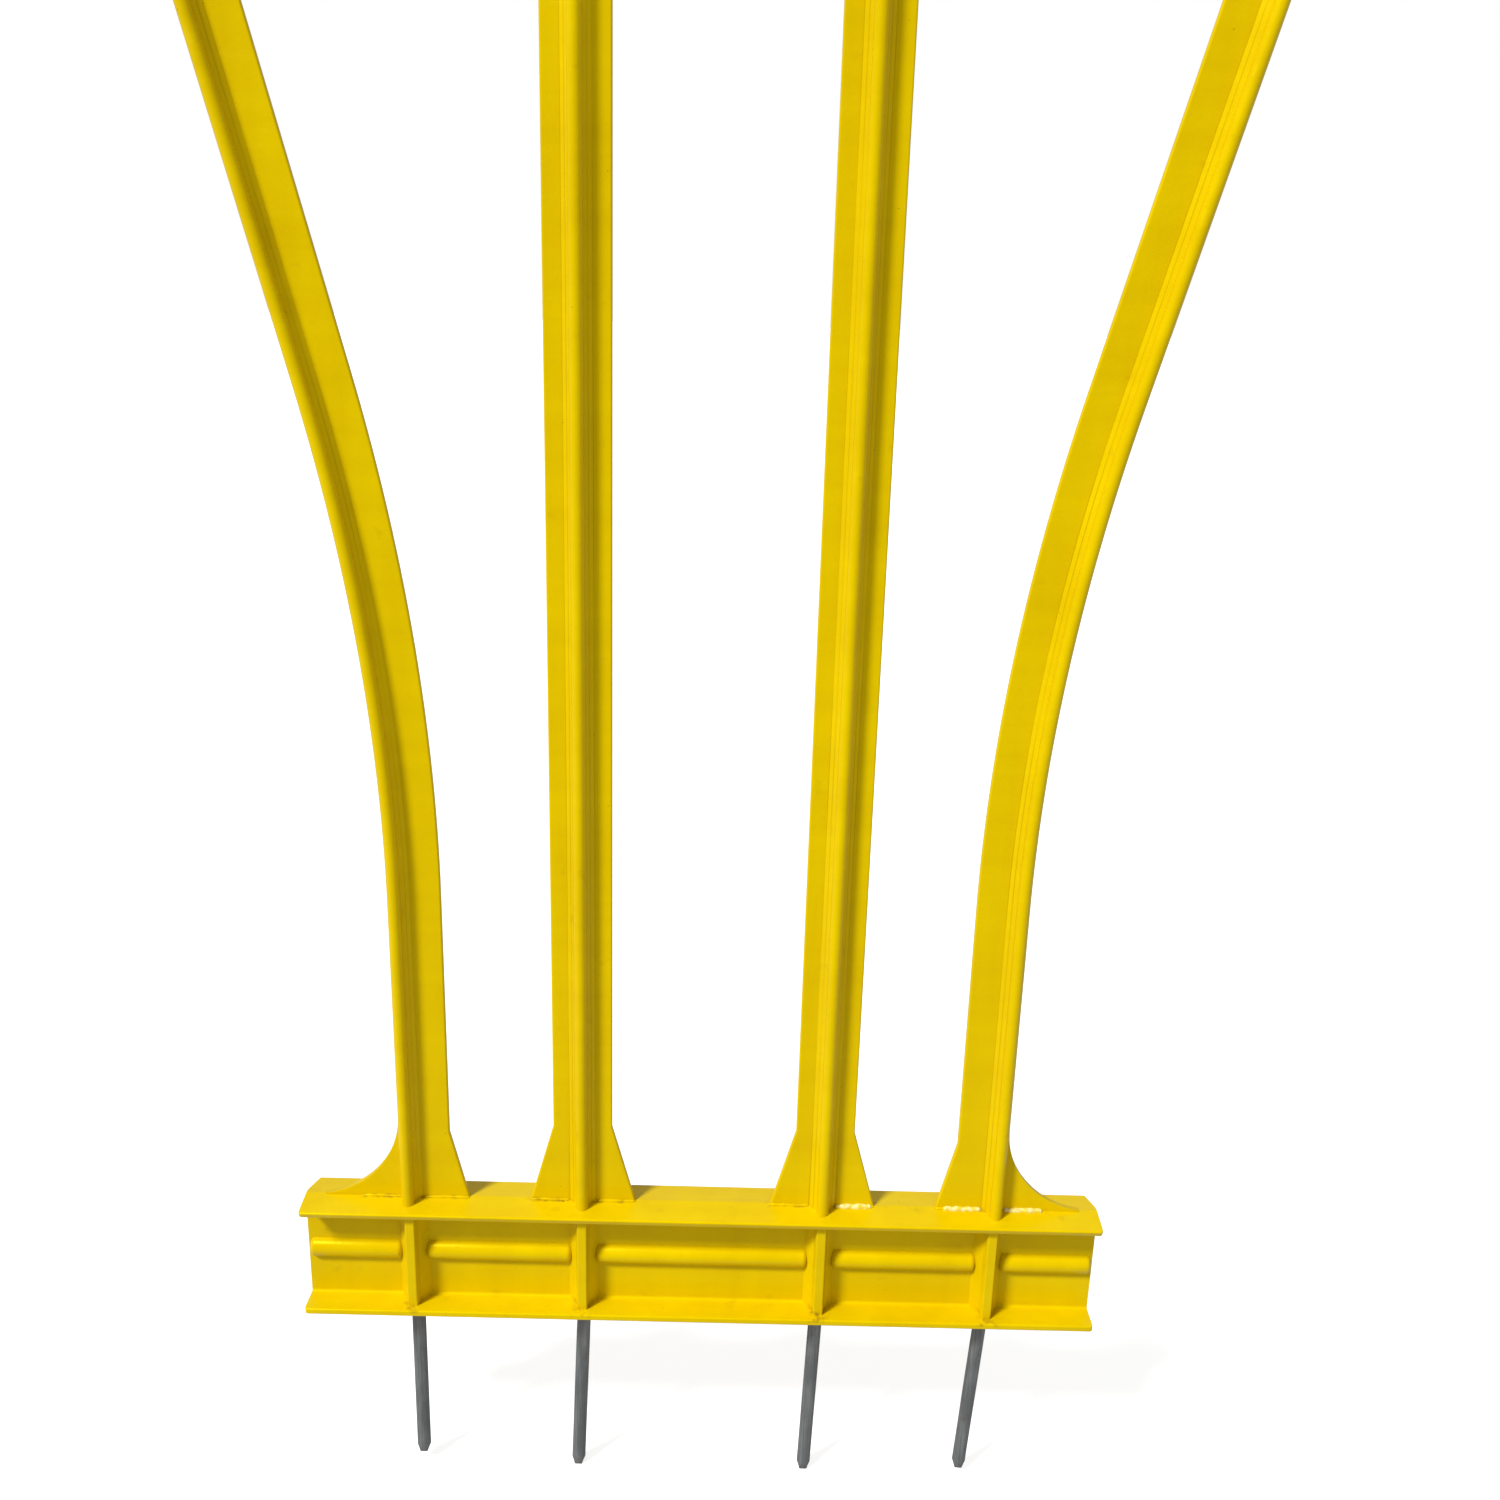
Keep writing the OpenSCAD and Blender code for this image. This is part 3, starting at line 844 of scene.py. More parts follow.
class BarTree(ShapeTree):
    """Sweeps a bar's section along its path and spreads its plate into feet and a toe."""

    title = "ribbed_bar"
    shapes = ("Section",)
    sizes = {
        "Hand": 1.0, "Stretch In": 0.0064, "Edge In": 0.0138, "Stretch Out": 0.0064, "Edge Out": 0.0138,
        "Foot Height": 0.041, "Foot In": 0.0, "Foot Out": 0.0, "Head Height": 0.042, "Head In": 0.0,
        "Head Out": 0.0, "Toe Radius": 0.0, "Toe Length": 0.0, "Seat Slope": 0.0, "Trim": -10.0,
    }
    start = 1e-6                    # a point nearer than this to the path's start stands at its foot

    def build(self) -> Socket:
        """Sweeps the section and then works out every point's place afresh."""
        curve = self.add("GeometryNodeMeshToCurve", {"Mesh": self.given["Geometry"]}).outputs[0]
        run = self.add("GeometryNodeSplineParameter").outputs["Length"]
        length = self.add("GeometryNodeSplineLength").outputs["Length"]
        tangent = self.add("GeometryNodeInputTangent").outputs[0]
        position = self.add("GeometryNodeInputPosition").outputs[0]
        curve = self.store(curve, "place", "FLOAT_VECTOR", position)
        curve = self.store(curve, "lie", "FLOAT_VECTOR", tangent)
        curve = self.store(curve, "run", "FLOAT", run)
        curve = self.store(curve, "left", "FLOAT", self.math("SUBTRACT", length, run))
        outline = self.add("GeometryNodeMeshToCurve", {"Mesh": self.shape("Section")}).outputs[0]
        section = self.store(outline, "section", "FLOAT_VECTOR", position)
        swept = self.add("GeometryNodeCurveToMesh",
                         {"Curve": curve, "Profile Curve": section, "Fill Caps": True}).outputs[0]
        placed = self.add("GeometryNodeSetPosition", {"Geometry": swept, "Position": self.new_place()})
        return self.trimmed(placed.outputs[0])

    def spread(self, way: str) -> Socket:
        """Returns how far the plate's edge is spread on one side, at its foot and its head."""
        foot = self.ramp(self.named("run", "FLOAT"), self.given["Foot Height"])
        head = self.ramp(self.named("left", "FLOAT"), self.given["Head Height"])
        return self.math("ADD", self.product(foot, self.given[f"Foot {way}"]),
                         self.product(head, self.given[f"Head {way}"]))

    def ramp(self, distance: Socket, height: Socket) -> Socket:
        """Returns 1 at no distance, falling evenly to 0 at the height and beyond."""
        return self.math("MAXIMUM", self.flipped(self.math("DIVIDE", distance, height)), 0.0)

    def toe(self) -> Socket:
        """Returns the reach of the toe, a hollow quarter round that meets the rail."""
        radius = self.given["Toe Radius"]
        above = self.math("MAXIMUM", self.math("SUBTRACT", radius, self.named("run", "FLOAT")), 0.0)
        square = self.math("SUBTRACT", self.product(radius, radius), self.product(above, above))
        reach = self.math("SUBTRACT", radius, self.math("SQRT", square))
        return self.math("MINIMUM", reach, self.given["Toe Length"])

    def share(self, across: Socket, way: str) -> Socket:
        """Returns how much of the spread a point takes: none on the rib and all at the edge."""
        return self.span(across, self.given[f"Stretch {way}"], self.given[f"Edge {way}"])

    def new_place(self) -> Socket:
        """Returns each point's place, from its stop on the path and its point of the section."""
        across, out, _ = self.axes(self.named("section", "FLOAT_VECTOR"))
        inward = self.product(self.share(self.product(across, -1.0), "In"), self.spread("In"))
        outward = self.product(self.share(across, "Out"), self.math("ADD", self.spread("Out"), self.toe()))
        wide = self.math("ADD", self.math("SUBTRACT", across, inward), outward)
        lie = self.axes(self.named("lie", "FLOAT_VECTOR"))
        side = self.joined(lie[2], 0.0, self.product(lie[0], -1.0))
        aside = self.scaled(side, self.product(wide, self.given["Hand"]))
        at_foot = self.math("LESS_THAN", self.named("run", "FLOAT"), self.start)
        sink = self.product(self.math("ABSOLUTE", out), at_foot, self.given["Seat Slope"])
        away = self.joined(0.0, self.product(out, -1.0), self.product(sink, -1.0))
        return self.vector("ADD", self.vector("ADD", self.named("place", "FLOAT_VECTOR"), aside), away)

    def trimmed(self, geometry: Socket) -> Socket:
        """Slides the points that lie past the trim plane back along the bar onto it."""
        position = self.add("GeometryNodeInputPosition").outputs[0]
        lie, hand = self.named("lie", "FLOAT_VECTOR"), self.given["Hand"]
        x, way = (self.product(self.axes(vector)[0], hand) for vector in (position, lie))
        back = self.math("DIVIDE", self.math("SUBTRACT", self.given["Trim"], x), way)
        past = self.math("LESS_THAN", x, self.given["Trim"])
        wires = {"Geometry": geometry, "Selection": past, "Offset": self.scaled(lie, back)}
        return self.add("GeometryNodeSetPosition", wires).outputs[0]


@dataclass
class Bars:
    """Every upright and bent bar of the figure."""

    finishes: Finishes
    tree: BarTree = field(default_factory=BarTree)
    inner: BarSection = BarSection(0.0146, 0.0146)
    outer: BarSection = BarSection(0.0208, 0.0045)
    head: BarSection = BarSection(0.009, 0.009)
    inner_x: float = 0.0603
    outer_x: float = 0.1473
    splay_start: float = 0.2234
    splay_r: float = 0.955
    splay_angle: float = 14.3
    splay_run: float = 0.207
    shoulder_r: float = 0.110
    shoulder_slope: float = 20.0
    shoulder_rise: float = 0.020
    collar_half: float = 0.080
    neck_x: float = 0.050
    neck_rise: float = 0.020
    jaw_turn: float = 50.0
    jaw_hollow_r: float = 0.045
    jaw_round_r: float = 0.060
    head_side: float = 0.090
    foot_height: float = 0.042
    foot_spread: float = 0.0117
    side_foot_height: float = 0.037
    side_foot_spread: float = 0.009
    toe_r: float = 0.0452
    toe_length: float = 0.0385
    seat_slope: float = 0.0017 / 0.016      # fall of the base rail's crown over half its depth
    leg_steps: int = 28
    shoulder_steps: int = 32
    jaw_steps: int = 16
    crown_steps: int = 64

    def sweep(self, name: str, path: BarPath, section: BarSection, side: Side,
              sizes: Mapping[str, float] | None = None) -> None:
        """Grows one bar and puts it in place of its CAD node.

        Args:
            name: The CAD node.
            path: Line of the bar's rib on the right-hand side.
            section: The bar's section.
            side: The side that the bar is on.
            sizes: Inputs of the tree for its feet, toe, seat and trim.
        """
        stretch = {
            "Hand": float(side.value),
            "Stretch In": section.root(section.inside),
            "Edge In": section.inside - section.edge(section.inside),
            "Stretch Out": section.root(section.outside),
            "Edge Out": section.outside - section.edge(section.outside),
        }
        mesh = self.tree.grow(path.wire(side.value), self.finishes.plastic,
                              {"Section": outline_mesh(section.outline())}, stretch | dict(sizes or {}))
        for spent in ("place", "lie", "run", "left"):
            mesh.attributes.remove(mesh.attributes[spent])
        face_outwards(mesh)
        place_piece(f"moulded_{name}", mesh, [name])

    @staticmethod
    def flare(height: float, inside: float, outside: float) -> dict[str, float]:
        """Returns the sizes of a bar that flares alike at both ends."""
        return {"Foot Height": height, "Foot In": inside, "Foot Out": outside,
                "Head Height": height, "Head In": inside, "Head Out": outside}

    def inner_feet(self) -> dict[str, float]:
        """Returns the sizes of an inner bar's flare at both ends."""
        return self.flare(self.foot_height, self.foot_spread, self.foot_spread)

    def side_feet(self) -> dict[str, float]:
        """Returns the sizes of a side bar's flare at both ends."""
        return self.flare(self.side_foot_height, self.side_foot_spread, 0.0)

    def toe_stops(self, steps: int = 12) -> list[float]:
        """Returns the heights above the rail that trace the toe's curve evenly."""
        last = math.acos(1 - self.toe_length / self.toe_r)
        return [self.toe_r * (1 - math.sin(last * k / steps)) for k in range(steps + 1)]

    def legs(self, side: Side) -> None:
        """Grows the two leg bars of one side."""
        word = side.name.lower()
        low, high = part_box("base_rail")[1][2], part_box("lower_waist_rail")[0][2]
        seat = {"Seat Slope": self.seat_slope}
        path = BarPath(self.inner_x, low).line(high - low, [self.foot_height, high - low - self.foot_height])
        self.sweep(f"inner_{word}_leg", path, self.inner, side, seat | self.inner_feet())
        path = BarPath(self.outer_x, low)
        path.line(self.splay_start - low, [*self.toe_stops(), self.side_foot_height])
        path.bend(self.splay_r, self.splay_angle, self.leg_steps).line(self.splay_run)
        path.bend(self.splay_r, -self.splay_angle, self.leg_steps)
        toe = {"Toe Radius": self.toe_r, "Toe Length": self.toe_length}
        self.sweep(f"outer_{word}_leg", path, self.outer, side, seat | toe | self.side_feet())

    def torso(self, side: Side) -> None:
        """Grows the two torso bars of one side."""
        word = side.name.lower()
        low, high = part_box("upper_waist_rail")[1][2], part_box("chest_rail")[0][2]
        tall, top = high - low, high - low - self.foot_height
        path = BarPath(self.inner_x, low).line(tall, [self.foot_height, top])
        self.sweep(f"inner_{word}_torso_bar", path, self.inner, side, self.inner_feet())
        path = BarPath(self.side_x(), low).line(tall, [self.side_foot_height, tall - self.side_foot_height])
        self.sweep(f"outer_{word}_torso_bar", path, self.outer, side, self.side_feet())

    def side_x(self) -> float:
        """Returns the distance of the side bars' ribs from the middle, above the legs."""
        angle = math.radians(self.splay_angle)
        return self.outer_x + 2 * self.splay_r * (1 - math.cos(angle)) + self.splay_run * math.sin(angle)

    def shoulders(self, side: Side) -> None:
        """Grows the shoulder bar and the neck post of one side."""
        word = side.name.lower()
        low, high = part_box("chest_rail")[1][2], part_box("collar_rail")[0][2]
        turn = 90 - self.shoulder_slope
        end_x = self.side_x() - self.shoulder_r * (1 - math.cos(math.radians(turn)))
        run = (end_x - self.collar_half) / math.cos(math.radians(self.shoulder_slope))
        path = BarPath(self.side_x(), low).line(self.shoulder_rise)
        path.bend(self.shoulder_r, -turn, self.shoulder_steps)
        path.line(run + self.outer.inside, [run - self.outer.inside])
        self.sweep(f"{word}_shoulder", path, self.outer, side, self.side_feet() | {
            "Head In": 0.0, "Trim": self.collar_half})
        path = BarPath(self.inner_x, low).line(high - low, [self.foot_height])
        self.sweep(f"{word}_neck_post", path, self.inner, side, self.inner_feet() | {
            "Head In": 0.0, "Head Out": 0.0})

    def head_shape(self) -> None:
        """Grows the hoop of the head and the bar down its middle."""
        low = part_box("collar_rail")[1][2]
        jaw = math.radians(self.jaw_turn)
        crown_r = self.neck_x + (self.jaw_hollow_r + self.jaw_round_r) * (1 - math.cos(jaw))
        hollow = (self.jaw_hollow_r, self.jaw_turn, self.jaw_steps)
        rounded = (self.jaw_round_r, -self.jaw_turn, self.jaw_steps)
        path = BarPath(self.neck_x, low).line(self.neck_rise).bend(*hollow).bend(*rounded)
        path.line(self.head_side).bend(crown_r, -180, self.crown_steps).line(self.head_side)
        path.bend(*rounded).bend(*hollow).line(self.neck_rise)
        self.sweep("head_hoop", path, self.outer, Side.RIGHT)
        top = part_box("head_hoop")[1][2] - self.outer.outside - self.outer.inside
        self.sweep("head_bar", BarPath(0.0, low).line(top - low), self.head, Side.RIGHT)

    def build(self) -> None:
        """Grows every bar."""
        for side in Side:
            self.legs(side)
            self.torso(side)
            self.shoulders(side)
        self.head_shape()


# ---- Rails ----

@dataclass(frozen=True)
class RibShape:
    """A stiffening rib across a rail: a wedge that narrows from the web to a blade."""

    pad_half: float = 0.0074
    knee_half: float = 0.0033
    knee_out: float = 0.0075
    front_half: float = 0.0023
    reach: float = 0.012
    edge_r: float = 0.0006
    knee_r: float = 0.003

    def ring(self, web_half: float, height: float) -> list[Vector]:
        """Returns the rib's plan at one height, for both faces of the web.

        Args:
            web_half: Half of the web's thickness.
            height: The height.

        Returns:
            The plan's ring.
        """
        sunk = web_half / 3
        spread = (self.pad_half - self.knee_half) / (self.knee_out - web_half)
        root = self.pad_half + spread * (web_half - sunk)
        front = [
            Corner(root, sunk),
            Corner(self.knee_half, self.knee_out, self.knee_r),
            Corner(self.front_half, self.reach, self.edge_r),
            Corner(-self.front_half, self.reach, self.edge_r),
            Corner(-self.knee_half, self.knee_out, self.knee_r),
            Corner(-root, sunk),
        ]
        back = [Corner(-corner.across, -corner.out, corner.radius) for corner in front]
        return [Vector((x, y, height)) for x, y in rounded_outline(front + back)]

    def mesh(self, web_half: float, low: float, high: float) -> bpy.types.Mesh:
        """Returns the rib between two heights."""
        return solid_mesh([[self.ring(web_half, low), self.ring(web_half, high)]])


class RailTree(ShapeTree):
    """Fuses a rail's body with a rib at each place and cuts its bores."""

    title = "ribbed_rail"
    shapes = ("Rib", "Places", "Bores")

    def build(self) -> Socket:
        """Joins the ribs and then takes the bores away."""
        ribs = self.copies(self.shape("Places"), self.shape("Rib"))
        joined = self.add("GeometryNodeMeshBoolean", solver="EXACT", operation="UNION")
        joined.inputs["Self Intersection"].default_value = True
        for part in (self.given["Geometry"], ribs):
            self.tree.links.new(part, joined.inputs["Mesh 2"])
        wires = {"Mesh 1": joined.outputs["Mesh"], "Mesh 2": self.shape("Bores")}
        cut = self.add("GeometryNodeMeshBoolean", wires, solver="EXACT", operation="DIFFERENCE")
        return cut.outputs["Mesh"]


@dataclass
class Rail:
    """An I-shaped rail with ribs; the base rail also has a crown, a bead and spike bores."""

    node: str
    finish: bpy.types.Material
    tree: RailTree
    rib_x: Sequence[float]
    crown: float = 0.0
    bead_stops: Sequence[float] = ()
    bores: Sequence[Rings] = ()
    end_clip: float = 0.0
    rib: RibShape = RibShape()
    depth: float = 0.032
    flange_t: float = 0.0032
    web_half: float = 0.0015
    edge_r: float = 0.0007
    edge_draft: float = 0.0014      # how far the top flange's edges lean in on the way down
    root_r: float = 0.0014
    ridge_r: float = 0.004
    corner_r: float = 0.0016
    bead_z: float = 0.0298
    bead_r: float = 0.0056
    bead_end_r: float = 0.0018
    bead_ease: float = 0.0026
    bead_gap: float = 0.0060

    def __post_init__(self) -> None:
        """Reads the rail's height, length and place from its CAD node."""
        low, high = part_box(self.node)
        self.low, self.height = low[2], high[2] - low[2]
        self.half = high[0]

    def section(self) -> list[Point]:
        """Returns the rounded I section, in depth and height above the rail's foot."""
        half, top, web = self.depth / 2, self.height - self.crown, self.web_half
        corners = [
            Corner(half, 0, self.edge_r), Corner(half, self.flange_t, self.edge_r),
            Corner(web, self.flange_t, self.root_r), Corner(web, top - self.flange_t, self.root_r),
            Corner(half - self.edge_draft, top - self.flange_t, self.edge_r), Corner(half, top, self.edge_r),
        ]
        ridge = [Corner(0, self.height, self.ridge_r)] if self.crown else []
        return rounded_outline(corners + ridge + [Corner(-c.across, c.out, c.radius) for c in corners[::-1]])

    def tucked(self, depth: float, inset: float) -> float:
        """Returns a depth drawn in at the flange's edge, for the rounded corners.

        Args:
            depth: The depth, on either side of the web.
            inset: How far the edge is drawn in.

        Returns:
            The new depth, on the same side.
        """
        start, end = self.depth / 8, self.depth / 2 - 2 * self.corner_r
        share = min(max((abs(depth) - start) / (end - start), 0), 1)
        return math.copysign(abs(depth) - inset * share, depth)

    def end_wedges(self) -> list[Rings]:
        """Returns the wedges that clip the back corners of the top flange's ends."""
        start, spare = 2 * self.web_half, self.flange_t / 4
        far = self.depth / 2 + spare
        cut = self.end_clip * (far - start) / (self.depth / 2 - start)
        past = self.half + spare
        plan = [(self.half, start), (past, start), (past, far), (self.half - cut, far)]
        top = self.low + self.height
        heights = (top - self.crown - self.flange_t - spare, top + spare)
        return [[[Vector((end * x, y, z)) for x, y in plan] for z in heights] for end in (-1, 1)]

    def body(self, steps: int = 4) -> Rings:
        """Returns the rings of the rail's body from end to end, with a ring at each rib."""
        outline = self.section()
        turns = [math.pi / 2 * k / steps for k in range(steps, -1, -1)]
        ends = [(self.corner_r * (1 - math.sin(turn)), self.corner_r * (1 - math.cos(turn)))
                for turn in turns]
        stops = [(back - self.half, inset) for back, inset in ends]
        stops += [(x, 0.0) for x in sorted(self.rib_x)]
        stops += [(self.half - back, inset) for back, inset in reversed(ends)]
        return [[Vector((x, self.tucked(y, inset), self.low + z)) for y, z in outline] for x, inset in stops]

    def bead(self, start: float, end: float, sides: int = 32, steps: int = 6) -> Rings:
        """Returns a stretch of the web's bead with rounded ends.

        Args:
            start: Where it starts along the rail.
            end: Where it ends.
            sides: Points of each ring.
            steps: Rings of each rounded end.

        Returns:
            Its rings.
        """
        eased = []
        for k in range(steps + 1):
            turn = math.pi / 2 * k / steps
            eased.append((self.bead_ease * (1 - math.cos(turn)),
                          self.bead_end_r + (self.bead_r - self.bead_end_r) * math.sin(turn)))
        stops = [(start + d, r) for d, r in eased] + [(end - d, r) for d, r in eased[::-1]]
        angles = [math.tau * i / sides for i in range(sides)]
        return [[Vector((x, r * math.cos(a), self.bead_z + r * math.sin(a))) for a in angles]
                for x, r in stops]

    def build(self) -> None:
        """Builds the rail in place of its CAD node."""
        beads = [self.bead(a + self.bead_gap, b - self.bead_gap)
                 for a, b in zip(self.bead_stops, self.bead_stops[1:])]
        low = self.low + self.flange_t / 2
        high = self.low + self.height - self.crown - self.flange_t / 2
        shapes = {
            "Rib": self.rib.mesh(self.web_half, low, high),
            "Places": wire_mesh([Vector((x, 0, 0)) for x in self.rib_x]),
            "Bores": solid_mesh([*self.bores, *(self.end_wedges() if self.end_clip else [])]),
        }
        mesh = self.tree.grow(solid_mesh([self.body(), *beads]), self.finish, shapes)
        place_piece(f"moulded_{self.node}", mesh, [self.node])


# ---- Spikes ----

@dataclass(frozen=True)
class GroundSpike:
    """A steel spike that leans a little, with a tenon up in the rail and a cropped point."""

    node: str
    x: float
    reach: float
    lean: float
    radius: float = 0.0035
    tenon_r: float = 0.0024
    tenon_top: float = 0.050
    mouth_r: float = 0.0046
    mouth_depth: float = 0.002
    point: float = 0.004
    point_half: float = 0.0020
    point_stops: Sequence[float] = (0.0, 0.3, 0.65, 0.9, 1.0)
    sides: int = 32

    def place(self) -> Matrix:
        """Returns the spike's place, with its axis through the ground point."""
        return Matrix.Translation((self.x, 0, 0)) @ Matrix.Rotation(math.radians(self.lean), 4, "Y")

    def bore(self) -> Rings:
        """Returns the rail's bore for this spike, with the wider mouth at its underside."""
        profile = [(self.mouth_r, -self.mouth_depth), (self.mouth_r, self.mouth_depth),
                   (self.tenon_r, self.mouth_depth), (self.tenon_r, self.tenon_top)]
        return moved(turned(profile, self.sides), self.place())

    def cropped(self, share: float, height: float) -> list[Vector]:
        """Returns a ring of the point, which turns from round to four-sided on its way down.

        Args:
            share: How far the turn has gone, from 0 to 1.
            height: Height of the ring.

        Returns:
            The ring.
        """
        ring = []
        for i in range(self.sides):
            angle = math.tau * (i + 0.5) / self.sides
            square = self.point_half / max(abs(math.cos(angle)), abs(math.sin(angle)))
            radius = self.radius + (min(square, self.radius) - self.radius) * share
            ring.append(Vector((radius * math.cos(angle), radius * math.sin(angle), height)))
        return ring

    def build(self, finish: bpy.types.Material) -> None:
        """Builds the spike in place of its CAD node."""
        length = self.reach / math.cos(math.radians(self.lean))
        start = self.point - length
        ease = self.radius / 8
        shaft = turned([(self.tenon_r, self.tenon_top), (self.tenon_r, self.mouth_depth),
                        (self.radius - ease, self.mouth_depth), (self.radius, self.mouth_depth - ease),
                        (self.radius, start + ease)], self.sides)
        point = [self.cropped(share, start - self.point * share) for share in self.point_stops]
        spin = Matrix.Rotation(math.pi / self.sides, 4, "Z")
        mesh = solid_mesh([moved(moved(shaft, spin) + point, self.place())])
        mesh.materials.append(finish)
        shade_by_angle(mesh)
        place_piece(f"drawn_{self.node}", mesh, [self.node])


# ---- Waist fastenings ----

class FastenerTree(ShapeTree):
    """Sets a copy of one fastener at every point of the seed."""

    title = "fasteners"
    shapes = ("Fastener",)

    def build(self) -> Socket:
        """Copies the fastener."""
        return self.copies(self.given["Geometry"], self.shape("Fastener"))


@dataclass
class WaistFastenings:
    """Six bolts with washers and nuts that hold the two halves of the dummy together."""

    finish: bpy.types.Material
    joint_z: float
    tree: FastenerTree = field(default_factory=FastenerTree)
    pitch: float = 0.170
    aside: float = 0.0086
    bolt_r: float = 0.003
    length: float = 0.016
    thread_pitch: float = 0.001
    thread_depth: float = 0.00035
    thread_length: float = 0.010
    flat: float = 0.010
    head_h: float = 0.004
    nut_h: float = 0.005
    washer_r: float = 0.006
    washer_t: float = 0.0016
    hole_r: float = 0.0033
    flange_t: float = 0.0032
    chamfer: float = 0.05           # height of a hexagon's chamfer, as a share of its width
    chamfer_foot: float = 1.07      # radius that its corners are held to halfway up, in half widths
    chamfer_rim: float = 0.97       # and at its top
    sides: int = 24
    washer_sides: int = 32

    def hexagon(self, height: float, limit: float = math.inf) -> list[Vector]:
        """Returns a six-sided ring, with its corners held inside a radius.

        Args:
            height: Height of the ring.
            limit: The radius.

        Returns:
            The ring.
        """
        ring = []
        for i in range(self.sides):
            angle = math.tau * i / self.sides
            off_flat = (angle % (math.pi / 3)) - math.pi / 6
            radius = min(self.flat / 2 / math.cos(off_flat), limit)
            ring.append(Vector((radius * math.cos(angle), radius * math.sin(angle), height)))
        return ring

    def chamfered(self, low: float, high: float, both: bool) -> Rings:
        """Returns the rings of a six-sided prism with its corners chamfered on top or at both ends.

        Args:
            low: Height of its foot.
            high: Height of its top.
            both: Whether its foot is chamfered too.

        Returns:
            The rings from foot to top.
        """
        drop, half = self.flat * self.chamfer, self.flat / 2
        rim, middle = half * self.chamfer_rim, half * self.chamfer_foot
        top = [self.hexagon(high - drop), self.hexagon(high - drop / 2, middle), self.hexagon(high, rim)]
        foot = [self.hexagon(low)]
        if both:
            foot = [self.hexagon(low, rim), self.hexagon(low + drop / 2, middle), self.hexagon(low + drop)]
        return foot + top

    def bolt(self) -> bpy.types.Mesh:
        """Returns a bolt whose head rests on z = 0."""
        turns = int(self.thread_length / self.thread_pitch)
        root = self.bolt_r - self.thread_depth
        thread = [(root - self.thread_depth, -self.length)]
        for k in range(turns):
            foot = -self.length + self.thread_pitch * (k + 0.5)
            thread += [(root, foot), (self.bolt_r, foot + self.thread_pitch / 2)]
        shank = turned([*thread, (self.bolt_r, 0.0)], self.sides)
        return solid_mesh([shank + self.chamfered(0.0, self.head_h, False)])

    def nut(self) -> bpy.types.Mesh:
        """Returns a nut that stands on z = 0, with an eased bore."""
        ease = self.thread_depth
        bore = turned([(self.bolt_r + ease, self.nut_h), (self.bolt_r, self.nut_h - ease),
                       (self.bolt_r, ease), (self.bolt_r + ease, 0.0)], self.sides)
        return solid_mesh([self.chamfered(0.0, self.nut_h, True) + bore], hollow=True)

    def washer(self) -> bpy.types.Mesh:
        """Returns a washer that stands on z = 0, with rounded rims."""
        ease, r, t = self.washer_t / 5, self.washer_r, self.washer_t
        profile = [(self.hole_r, t - ease), (self.hole_r + ease, t), (r - ease, t), (r, t - ease),
                   (r, ease), (r - ease, 0), (self.hole_r + ease, 0), (self.hole_r, ease)]
        return solid_mesh([turned(profile, self.washer_sides)], hollow=True)

    def places(self, heights: Sequence[float]) -> bpy.types.Mesh:
        """Returns a point at every bolt, at each height from the waist joint."""
        return wire_mesh([Vector((x, y, self.joint_z + z)) for x in (-self.pitch, 0, self.pitch)
                          for y in (-self.aside, self.aside) for z in heights])

    def holes(self) -> list[Rings]:
        """Returns the holes through the two flanges at the joint."""
        deep = 2 * self.flange_t
        hole = turned([(self.hole_r, -deep), (self.hole_r, deep)], self.sides)
        return [moved(hole, Matrix.Translation(vertex.co)) for vertex in self.places([0.0]).vertices]

    def build(self) -> None:
        """Builds the bolts, washers and nuts in place of their CAD nodes."""
        on_top = self.flange_t + self.washer_t
        sets = {
            "waist_bolts": (self.bolt(), [on_top]),
            "waist_washers": (self.washer(), [self.flange_t, -on_top]),
            "waist_nuts": (self.nut(), [-on_top - self.nut_h]),
        }
        for node, (shape, heights) in sets.items():
            mesh = self.tree.grow(self.places(heights), self.finish, {"Fastener": shape})
            place_piece(f"plated_{node}", mesh, [node])


# ---- Welds ----

